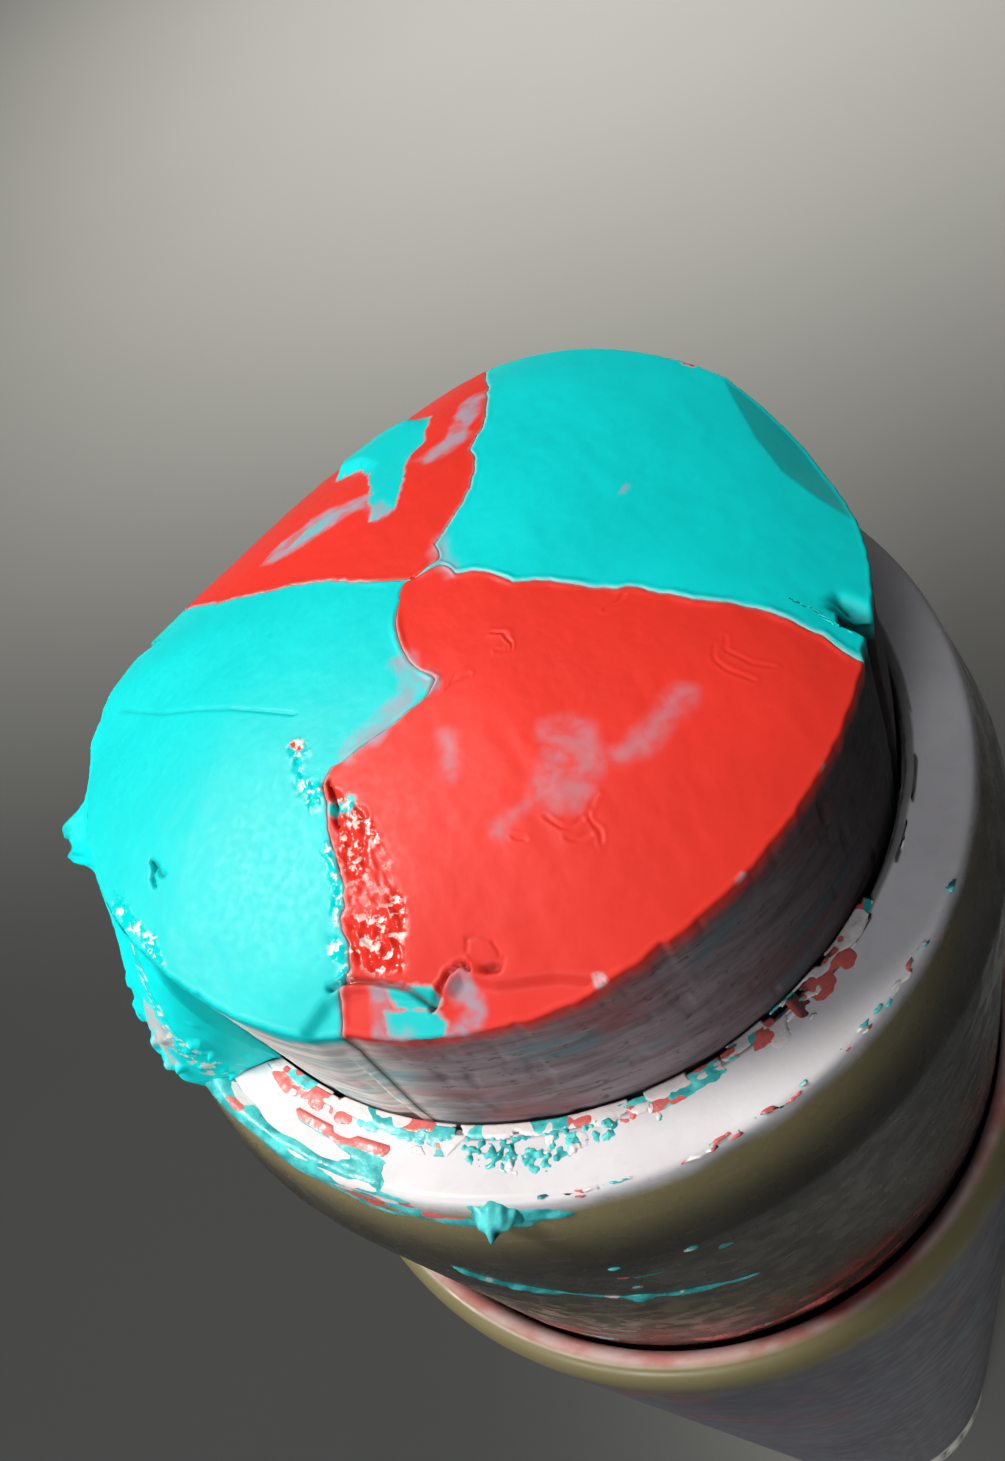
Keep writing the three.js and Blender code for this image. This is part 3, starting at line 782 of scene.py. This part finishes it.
# ---- The tube's skin, and paint on it ----

BEVEL = math.hypot(NECK_R - RIM_R, BEVEL_DROP)
SKIN = (                # distance out and down from the rim's inner edge, radius, height above the rim
    (-0.15, FULL_R + 0.045, -0.03), (0, BORE_R + 0.12, 0), (RIM_R - 0.08 - BORE_R - 0.12, RIM_R - 0.08, 0),
    (RIM_R - BORE_R, RIM_R + 0.02, -0.09), (RIM_R - BORE_R + BEVEL, NECK_R, -BEVEL_DROP),
    (RIM_R - BORE_R + BEVEL + RIM - SHOULDER - BEVEL_DROP, NECK_R, SHOULDER - RIM),
)


def skin(along):
    """Radius and height on the outside of the neck, and the way its surface faces."""
    known, radii, heights = np.array(SKIN).T
    step = 0.04
    r, z = np.interp(along, known, radii), np.interp(along, known, heights)
    dr = np.interp(along + step, known, radii) - np.interp(along - step, known, radii)
    dz = np.interp(along + step, known, heights) - np.interp(along - step, known, heights)
    length = np.maximum(np.hypot(dr, dz), 1e-9)
    return r, z, -dz / length, dr / length


def film(name, angles, along, thickness, fields, pitch=0.05, rise=0.35):
    """Paint lying on the neck: a sheet that is kept only where its thickness is above nothing."""
    columns = int(math.radians(angles[1] - angles[0]) * NECK_R / pitch)
    angle, v = np.meshgrid(np.linspace(*angles, columns), np.arange(*along, pitch))
    r, z, out, up = skin(v)
    thick = thickness(angle, v, spun(r, angle, z))
    lift = np.clip(thick * rise, -0.02, 0.5)
    places = spun(r + out * lift, angle, z + up * lift + RIM)
    faces = grid_faces(*angle.shape)
    kept = (thick.ravel()[faces] > 0).any(axis=1)
    values = {"red": 0 * v, "white": 0 * v, "dark": 0 * v, **fields(angle, v, places)}
    return piece(name, places, faces[kept], "tube", SMEAR, values, wall=0.025)


def arc(angle, middle):
    """Distance round the rim from an angle, in millimetres."""
    return np.radians(angle - middle) * RIM_R


def streaks(places, angle, seed):
    """Noise drawn out round the neck."""
    round_it = flat(arc(angle, 0) / 4.5, places[..., 2], np.hypot(places[..., 0], places[..., 1]))
    return rough(round_it, 0.3, 3, seed=seed)


def smears():
    """Every smear, fleck and crumb of paint on the rim and neck."""

    def patches(body, at, fill, size, seed, height=0.1, cut=0.045):
        return height * body * (fill + rough(at, size, 3, seed=seed)) - cut

    def lower_left(angle, v, at):
        middle = np.interp(angle, (196, 215, 228, 236, 246), (0.95, 1.05, 1.2, 1.5, 1.4))
        known = (192, 202, 215, 226, 231, 238, 245, 252)
        half = np.interp(angle, known, (0.3, 0.55, 0.6, 0.65, 0.5, 0.5, 0.45, 0.05))
        body = 1 - np.abs(v - middle) / half
        return 0.16 * body + 0.13 * streaks(at, angle, 51) - 0.04 - 0.3 * ramp(np.abs(angle - 222), 27, 32)

    def lower_left_look(angle, v, at):
        tone = streaks(at, angle, 52)
        red = ramp(tone, 0.25, 0.6) * window(angle, 204, 240, 3)
        pink = ramp(streaks(at, angle, 53), 0.45, 0.7)
        dark = window(angle, 236, 243, 2) * ramp(v, 1.3, 2.0) * 0.6
        return {"red": red, "white": pink, "dark": dark * ramp(rough(at, 0.3, 2, seed=54), -0.3, 0.4)}

    def bead(angle, v, at):
        gap = np.hypot(arc(angle, 242.4), v - 1.25)
        return 0.32 - gap + 0.14 * rough(at, 0.2, 2, seed=55)

    def grains(angle, v, at):
        outer = np.interp(angle, (238, 248, 258), (0.4, 0.62, 0.3))
        body = window(angle, 238, 259, 2) * ramp(v, -0.02, 0.08) * (1 - ramp(v, outer - 0.15, outer + 0.1))
        return 0.25 * (rough(at, 0.09, 2, seed=56) + 0.1) * body - 0.12 * (1 - body)

    def strip(first, last, soft, near_v, far_v, fill, size, seed, **depth):
        """Patches over a stretch of the bore's edge, thinning out across the rim."""
        def thickness(angle, v, at):
            body = window(angle, first, last, soft) * (1 - ramp(v, near_v, far_v))
            return patches(body, at, fill, size, seed, **depth)
        return thickness

    def scrapings(angle, v, at):
        body = window(angle, 206, 300, 5) * (1 - ramp(v, 0.02, 0.1 + 0.12 * rough(at, 0.5, 2, seed=67)))
        return 0.1 * body * (0.9 + 0.5 * rough(at, 0.3, 3, seed=69)) - 0.03

    def red_inside(angle, v, at):
        reach = np.interp(angle, (208, 214, 222), (0.2, 0.45, 0.3))
        body = window(angle, 208, 222, 2) * (1 - ramp(v, 0.12, reach))
        return patches(body, at, 0.75, 0.3, 65)

    def flecks(angle, v, at):
        body = window(angle, 245, 309, 3) * window(v, 0.86, 1.06, 0.05)
        drawn_out = flat(arc(angle, 0) / 1.9, v, 0)
        return 0.3 * (rough(drawn_out, 0.1, 3, seed=59) - 0.1) * body - 0.25 * (1 - body)

    def neck_streak(angle, v, at):
        line = np.interp(angle, (229, 233, 238, 250, 263, 268), (2.6, 3.1, 4.3, 5.6, 6.4, 6.7))
        half = np.interp(angle, (229, 234, 249, 250.5, 252, 266), (0.03, 0.12, 0.14, 0.26, 0.1, 0.04))
        return half - np.abs(v - line) + 0.1 * streaks(at, angle, 60) - 0.02

    def specks(angle, v, at):
        body = window(angle, 246, 270, 3) * window(v, 1.5, 5.2, 0.4)
        sparse = noise(flat(arc(angle, 0) / 2.2, v, 0), 0.17, seed=61)
        return 0.22 * (sparse - 0.74) * body - 0.2 * (1 - body)

    def low_red(angle, v, at):
        depth = skin(v)[1] - (SHOULDER - RIM)
        body = window(angle, 222, 285, 6) * (1 - ramp(depth, 0.15, 0.9))
        return patches(body, at, 0.35, 0.8, 62, height=0.12, cut=0.035)

    def by_noise(seed, reds=0.0, whites=0.6, darks=0.0):
        def look(angle, v, at):
            tone = rough(at, 0.45, 2, seed=seed)
            other = rough(at, 0.3, 2, seed=seed + 1)
            return {"red": ramp(tone, reds, reds + 0.2), "white": ramp(other, whites, whites + 0.2),
                    "dark": darks * ramp(other, -0.2, -0.6)}
        return look

    inner_strip = strip(256, 281, 2, 0.08, 0.26, 0.65, 0.25, 57, height=0.12)
    teal_inside = strip(222, 238, 1.5, 0.05, 0.3, 0.75, 0.25, 66)
    red_patch = strip(284, 294, 1.5, 0.16, 0.42, 0.7, 0.3, 58, cut=0.04)
    film("smear_lower_left", (190, 254), (0.3, 3.3), lower_left, lower_left_look)
    film("bead_on_rim", (238, 247), (0.6, 2.0), bead, by_noise(71, 0.9, 0.9, 1.0), 0.03, 1)
    # The white in the grains is painted glints.
    film("grains_on_rim", (236, 261), (-0.1, 0.95), grains, by_noise(72, 0.9, 0.3), 0.022, 0.25)
    film("scrapings_on_bore_edge", (200, 306), (-0.15, 0.35), scrapings, by_noise(64, 0.35, -0.45), 0.03, 0.2)
    film("red_inside_rim", (205, 225), (-0.1, 0.6), red_inside, by_noise(79, -0.9, 0.5), 0.03, 0.2)
    film("teal_inside_rim", (219, 241), (-0.1, 0.45), teal_inside, by_noise(68, 0.5, 0.5), 0.03, 0.2)
    film("strip_inside_rim", (253, 284), (-0.1, 0.5), inner_strip, by_noise(73, -0.15, 0.5), 0.03, 0.2)
    film("red_on_rim", (281, 297), (-0.1, 0.6), red_patch, by_noise(74, -0.9, 0.7, 0.8), 0.03, 0.15)
    film("flecks_on_edge", (241, 309), (0.6, 1.35), flecks, by_noise(75, 0.1, 0.2, 1.0), 0.03, 0.3)
    film("streak_on_neck", (228, 270), (2.2, 7.2), neck_streak, by_noise(76, 0.75, 0.75))
    film("specks_on_neck", (243, 273), (1.2, 5.6), specks, by_noise(77, 0.1, 0.2, 0.3), 0.04)
    film("red_by_shoulder", (214, 292), (9.8, 11.4), low_red, by_noise(78, -0.5, 0.8, 0.7), 0.06)


BULGE_HEIGHTS = (0, 0.5, 1, 1.5, 2, 2.5, 3, 3.5)
BULGE = {               # angle in degrees: how far out the paint reaches at each of those heights
    141: (6.5, 6.6, 6.6, 6.55, 6.5, 6.45, 6.42, 6.42),
    150: (7.2, 7.45, 7.45, 7.3, 7.1, 6.85, 6.6, 6.42),
    158: (7.6, 7.85, 7.8, 7.6, 7.35, 7.05, 6.75, 6.45),
    165: (7.75, 7.95, 7.9, 7.65, 7.3, 6.98, 6.66, 6.43),
    172: (7.75, 7.78, 7.68, 7.5, 7.28, 6.98, 6.66, 6.43),
    182: (7.72, 7.62, 7.46, 7.28, 7.06, 6.84, 6.6, 6.43),
    194: (7.78, 7.7, 7.54, 7.32, 7.06, 6.8, 6.55, 6.43),
    207: (7.78, 7.68, 7.5, 7.28, 7.04, 6.8, 6.55, 6.43),
}


FLAP_ANGLE = 168        # degrees: where a flap of paint sticks out of the deposit


def rim_deposit():
    """Turquoise pushed off the stick's side, which hangs over the rim and has dried there."""
    angles = np.linspace(min(BULGE), max(BULGE), 260)
    inner = FULL_R + 0.035
    foot_z = 0.1            # the rounded foot starts here, and the underside clears the rim
    under_z = 0.012
    rim_end, hang_r = 7.45, 7.62
    known = np.array(list(BULGE.values()))
    columns = np.array([np.interp(angles, list(BULGE), column) for column in known.T])
    taper = 1 - ramp(angles, 197, 207)
    start = ramp(angles, 141, 155)
    ax, ay = np.cos(np.radians(angles)), np.sin(np.radians(angles))
    height = 0.03 + (crown(inner * ax, inner * ay) - 0.1) * taper ** 0.5 * start

    def reach(z):
        out = np.array([np.interp(h, BULGE_HEIGHTS, column) for h, column in zip(z, columns.T)])
        return inner + (out - inner) * (0.05 + 0.95 * taper ** 0.7)

    rows = []
    for s in np.linspace(0, 1, 70):
        z = height - (height - foot_z) * s
        rows.append((inner + (reach(z) - inner) * min(1, s / 0.04), z))
    foot = reach(0 * angles)
    hang = np.clip((foot - rim_end) / 0.08, 0, 1)
    low_r = np.minimum(foot, rim_end) * (1 - hang) + hang_r * hang
    low_z = under_z - 0.3 * hang
    for turn in np.linspace(12, 90, 9):
        a = math.radians(turn)
        rows.append((low_r + (foot - low_r) * math.cos(a), foot_z + (low_z - foot_z) * math.sin(a)))
    shown_rows = len(rows)
    for share in (0, 0.5, 1):
        r = np.minimum(low_r, RIM_R - 0.02) * (1 - share) + inner * share
        rows.append((r, under_z + 0 * angles))
    for s in np.linspace(0.08, 0.97, 14):
        rows.append((inner + 0 * angles, under_z + (height - under_z) * s))
    r = np.array([row[0] for row in rows])
    z = np.array([row[1] for row in rows])
    angle = np.broadcast_to(angles, r.shape)
    at = spun(r, angle, z)
    shown = np.zeros_like(r)
    shown[:shown_rows] = 1
    shown *= ramp(r, inner, inner + 0.15)
    lumps = 0.05 * rough(at, 1.1, 3, seed=81) + 0.008 * rough(at, 0.15, 2, seed=82) - 0.04
    beside = arc(angle, FLAP_ANGLE)
    flap = 0.5 * np.exp(-np.abs(beside / 0.4) ** 3 - np.abs((z - 2.25 + beside * 0.5) / 0.3) ** 3)
    tears = 0.12 * ramp(rough(at, 0.25, 2, seed=83), 0.35, 0.9) * ramp(angle, 180, 190) * ramp(z, 2.2, 0.5)
    r = r + shown * (lumps + flap * (1 + 0.3 * rough(at, 0.2, 2, seed=86)) + tears)
    places = spun(r, angle, z + RIM)
    faces = grid_faces(len(rows), len(angles), loop_rows=True).tolist()
    faces.append([i * len(angles) for i in range(len(rows))])
    faces.append([i * len(angles) + len(angles) - 1 for i in reversed(range(len(rows)))])
    bare = 0.3 - np.hypot(arc(angle, 196) * 0.8, (z - 1.2) * 0.35) + 0.1 * rough(at, 0.3, 2, seed=84)
    trail = np.interp(z, (0, 3.4), (203, 194))
    # Wet turquoise on a trail down the deposit, with painted white glints.
    sparks = ramp(0.25 - np.abs(arc(angle, 0) - arc(trail, 0)) + lumps, 0, 0.1)
    none = 0 * r
    fields = {"other": none - 1, "haze": none, "line": ramp(bare, 0, 0.06) * 1.3, "film": none, "painted_light_left": none,
              "painted_shade": none, "dark": 0.5 * ramp(flap, 0.2, 0.5), "wet_and_glints": sparks}
    # The deposit's turquoise is painted 1.3 times brighter than the stick's: painted light on its steep, shaded
    # side.
    piece("rim_paint_worn", places, faces, "tube",
          paint("deposit", tint(TURQUOISE, 1.3), RED), fields, ("rim_paint_deposit",))


# ---- Plastic parts ----

def turned(name, profile, angles, body, material, node, shape=None, fields=None):
    """A closed profile of (radius, height) turned about the axis; shape may move each place a little."""
    r, z = np.array(profile, float).T
    angle, r = np.meshgrid(angles, r)
    z = np.broadcast_to(z[:, None], r.shape)
    if shape:
        r, z = shape(angle, r, z)
    faces = grid_faces(*r.shape, loop_rows=True, loop_columns=True)
    values = fields(angle, r, z) if fields else None
    return piece(name, spun(r, angle, z), faces, body, material, values, (node,))


def fine_profile(points, pitch):
    """A closed profile with points added, so that on each side none are further apart than its pitch."""
    closed = list(points) + [points[0]]
    out = []
    for (r0, z0), (r1, z1), step in zip(closed, closed[1:], pitch):
        count = max(1, math.ceil(math.hypot(r1 - r0, z1 - z0) / step))
        out += [(r0 + (r1 - r0) * k / count, z0 + (z1 - z0) * k / count) for k in range(count)]
    return out


def inner_tube():
    """The tube: its white rim, bevelled neck, ribbed bore and floor."""
    corner = 0.08
    points = [
        (WEB_HOLE_R, TUBE_FOOT), (NECK_R - 0.05, TUBE_FOOT), (NECK_R - 0.05, SHOULDER - 0.3),
        (NECK_R, SHOULDER - 0.1), (NECK_R, RIM - BEVEL_DROP - 0.3), (NECK_R - 0.03, RIM - BEVEL_DROP + 0.2),
        (RIM_R + corner * 0.5, RIM - corner * 1.5), (RIM_R, RIM - corner * 0.4), (RIM_R - corner, RIM),
        (BORE_R + 0.12, RIM), (BORE_R + 0.03, RIM - 0.05), (BORE_R, RIM - 0.18),
        (BORE_R, RIM - 0.9), (BORE_R, RIM - 12), (BORE_R, WEB_TOP + 1), (BORE_R, WEB_TOP),
        (WEB_HOLE_R, WEB_TOP),
    ]
    pitch = (3, 12, 1, 0.5, 0.12, 0.1, 0.12, 0.05, 0.05, 0.08, 0.04, 0.05, 0.1, 0.3, 4, 0.5, 1, 1)
    profile = fine_profile(points, pitch)
    angles = np.arange(0, 360, 1)

    def shape(angle, r, z):
        bore = (r < BORE_R + 0.01) & (r > WEB_HOLE_R + 1)
        rib_span = ramp(z, WEB_TOP + 1, WEB_TOP + 2) * (1 - ramp(z, RIM - 1.5, RIM - 0.5))
        for rib in RIB_ANGLES:
            across = np.radians(apart(angle, rib)) * BORE_R
            r = r - bore * rib_span * (BORE_R - RIB_TIP_R) * window(across, -RIB_HALF, RIB_HALF, 0.08)
        at = spun(BORE_R, angle, z)
        lip = window(z, RIM - 0.25, RIM + 1, 0.05) * (r < BORE_R + 0.2) * (r > BORE_R - 0.2)
        r = r + lip * (0.05 * rough(at, 1.4, 3, seed=91) + 0.03)
        outside = r > BORE_R + 0.3
        r = r + outside * 0.006 * rough(at, 1.2, 2, seed=92)
        r = r - outside * 0.03 * window(z, RIM - 6.05, RIM - 5.95, 0.03)
        return r, z

    def fields(angle, r, z):
        at = spun(r, angle, z)
        outside = r > BORE_R + 0.2
        down = RIM - z
        # rim: the pale top; the wall below it and the bore get the darker painted-shade colour.
        rim = np.where(outside, 1 - ramp(down + 0.05 * rough(at, 0.5, 2, seed=93), 0.12, 0.4), 0.35)
        # Painted glow below the rim, strongest on the lit left side.
        lit = 0.3 + 0.7 * window(angle, 195, 292, 18)
        painted_glow = outside * lit * ramp(down, 0.15, 0.35) * (1 - ramp(down, 0.3, 1.9)) ** 1.5
        low_down = ramp(down, RIM - SHOULDER - 3.2, RIM - SHOULDER - 0.6)
        stain = outside * (window(angle, 215, 290, 12) * low_down)
        bore = ~outside * ramp(down, 0.1, 0.6)
        return {"rim": rim, "painted_glow": painted_glow, "stain": stain, "bore": bore}

    turned("inner_tube_moulding", profile, angles, "tube", tube_plastic(),
           "inner_tube", shape, fields)


def outer_sleeve():
    """The sleeve: a plain wall with a rounded lip, the shoulder ring."""
    inner = NECK_R + 0.05
    lip = SLEEVE_R - inner - 0.06
    lip_height = 0.9
    lip_half = lip / 2 + 0.03
    lip_middle = inner + lip / 2 + 0.03
    points = [(inner, TUBE_FOOT), (SLEEVE_R - 0.25, TUBE_FOOT), (SLEEVE_R, TUBE_FOOT + 0.25),
              (SLEEVE_R, SHOULDER - 1.15)]
    for turn in range(15, 180, 11):
        a = math.radians(turn)
        rise = lip_height * math.sin(a) ** 0.8
        points.append((lip_middle + lip_half * math.cos(a), SHOULDER - lip_height + rise))
    points.append((inner, SHOULDER - 1))
    pitch = [1, 0.1, 1.2] + [0.1] * 16 + [12, 12]
    profile = fine_profile(points, pitch)
    angles = np.arange(0, 360, 1)

    def shape(angle, r, z):
        outside = r > SLEEVE_R - 0.02
        seam_line = 0.03 * (window(angle, 89.5, 90.5, 0.6) + window(angle, 269.5, 270.5, 0.6))
        ring_above = window(z, SHOULDER - 3.1, SHOULDER - 2.9, 0.1)
        ring_below = window(z, TUBE_FOOT + 2.2, TUBE_FOOT + 2.4, 0.1)
        return r - outside * (seam_line + 0.05 * (ring_above + ring_below)), z

    def fields(angle, r, z):
        down = SHOULDER - z
        within = 1 - ramp(r, SLEEVE_R - 0.5, SLEEVE_R - 0.32)
        # edge marks where the painted olive glow lies, just below the lip.
        return {"used": (1 - ramp(down, 2, 34)) * (0.35 + 0.65 * window(angle, 190, 330, 30)),
                "lip": within * (1 - ramp(down, 0.6, 1)), "edge": 1 - ramp(down, 0.5, 1.6)}

    turned("outer_sleeve_moulding", profile, angles, "tube", sleeve_plastic(),
           "outer_sleeve", shape, fields)


def base_knob():
    """The foot: a grooved skirt, a recess below, and a boss with the screw's socket."""
    socket = 1.6 * math.sqrt(2) + 0.05
    recess, floor_z, boss = 0.8, 2.4, 3.6
    skirt = KNOB_R - 1.5
    grips, grip_depth = 32, 0.36
    points = [
        (socket, recess), (5.6, recess), (6.2, 0.05), (6.3, 0), (KNOB_R - 0.9, 0), (KNOB_R - 0.3, 0.2),
        (KNOB_R - 0.05, 0.6), (KNOB_R, 1), (KNOB_R, KNOB_TOP - 0.7), (KNOB_R - 0.12, KNOB_TOP - 0.25),
        (KNOB_R - 0.45, KNOB_TOP), (skirt, KNOB_TOP), (skirt, floor_z), (boss, floor_z), (boss, KNOB_TOP),
        (socket, KNOB_TOP),
    ]
    pitch = (0.6, 0.3, 0.1, 0.4, 0.12, 0.12, 0.15, 0.3, 0.12, 0.12, 0.4, 3, 1, 3, 1, 4)
    profile = fine_profile(points, pitch)
    angles = np.arange(0, 360, 0.75)

    def shape(angle, r, z):
        wave = 0.5 - 0.5 * np.cos(np.radians(angle) * grips)
        span = window(z, 2.3, KNOB_TOP - 2.1, 0.45)
        outside = r > KNOB_R - 0.5
        return r - outside * span * grip_depth * (1 - wave) ** 1.4, z

    knob = plain_plastic("knob_plastic", (0.7, 0.68, 0.6, 1), (0.45, 0.36, 0.3, 1))
    turned("base_knob_moulding", profile, angles, "twist_base", knob, "base_knob", shape)


def hidden_parts():
    """The screw and the carrier keep their shapes and get plain white plastic."""
    white = plain_plastic("white_plastic", (0.84, 0.84, 0.82, 1), (0.6, 0.45, 0.43, 1))
    for name in ("feed_screw", "carrier_cup"):
        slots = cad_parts[name].data.materials
        slots.clear()
        slots.append(white)


# ---- Camera, lights and floor ----

def camera():
    data = bpy.data.cameras.new("camera")
    data.sensor_width = 36
    data.lens = 27.1
    data.clip_start = 0.0005
    data.clip_end = 20
    made = placed("camera", data)
    right, up, back = (0.8642, -0.3874, -0.3212), (0.5032, 0.6652, 0.5516), (0, -0.6383, 0.7698)
    eye = Vector((0.01, -12.13, RIM + 15.42)) * MM
    turn = Matrix((right, up, back)).transposed().to_4x4()
    turn.translation = eye
    made.matrix_world = turn
    bpy.context.scene.camera = made


def area_light(name, place, aim, size, watts, colour, spread):
    data = bpy.data.lights.new(name, "AREA")
    data.size = size
    data.energy = watts
    data.color = colour
    data.spread = math.radians(spread)
    made = placed(name, data)
    made.location = place
    made.rotation_euler = (Vector(place) - Vector(aim)).to_track_quat("Z", "Y").to_euler()


def lights():
    """A key from the upper left, a fill from the lower left, and a wide light on the floor behind."""
    rim = Vector((0, 0, RIM * MM))
    left = rim + Vector((-6, 0, 0)) * MM
    from_key, from_fill = Vector((-0.48, 0.19, 0.856)) * 0.115, Vector((-0.62, -0.6, 0.42)) * 0.6
    area_light("key", left + from_key, left, size=0.03, watts=0.008, colour=(1, 0.97, 0.93), spread=36)
    area_light("fill", rim + from_fill, rim, size=0.4, watts=0.21, colour=(0.96, 0.98, 1), spread=30)
    area_light("backdrop", (-0.008, 0.032, 0.294), (0.254, 0.575, 0), size=0.295, watts=1.85,
               colour=(1, 0.98, 0.95), spread=84)
    world = bpy.data.worlds.new("studio")
    bpy.context.scene.world = world
    world.use_nodes = True
    sky = world.node_tree.nodes["Background"]
    sky.inputs["Color"].default_value = (0.86, 0.9, 1, 1)
    sky.inputs["Strength"].default_value = 0.04


def floor():
    mesh = bpy.data.meshes.new("floor")
    half = 3.0
    corners = [(-half, -half, 0), (half, -half, 0), (half, half, 0), (-half, half, 0)]
    mesh.from_pydata(corners, [], [(0, 1, 2, 3)])
    made = placed("floor", mesh)
    f = Finish("floor", 0.8)
    colour = f.mix(f.noise(60, 3), (0.288, 0.286, 0.264, 1), (0.308, 0.306, 0.284, 1))
    mesh.materials.append(f.finish(colour))


camera()
lights()
floor()
bpy.context.scene.view_settings.view_transform = "Standard"
SMEAR = smear("smeared_paint")
stick()
rim_deposit()
smears()
inner_tube()
outer_sleeve()
base_knob()
hidden_parts()
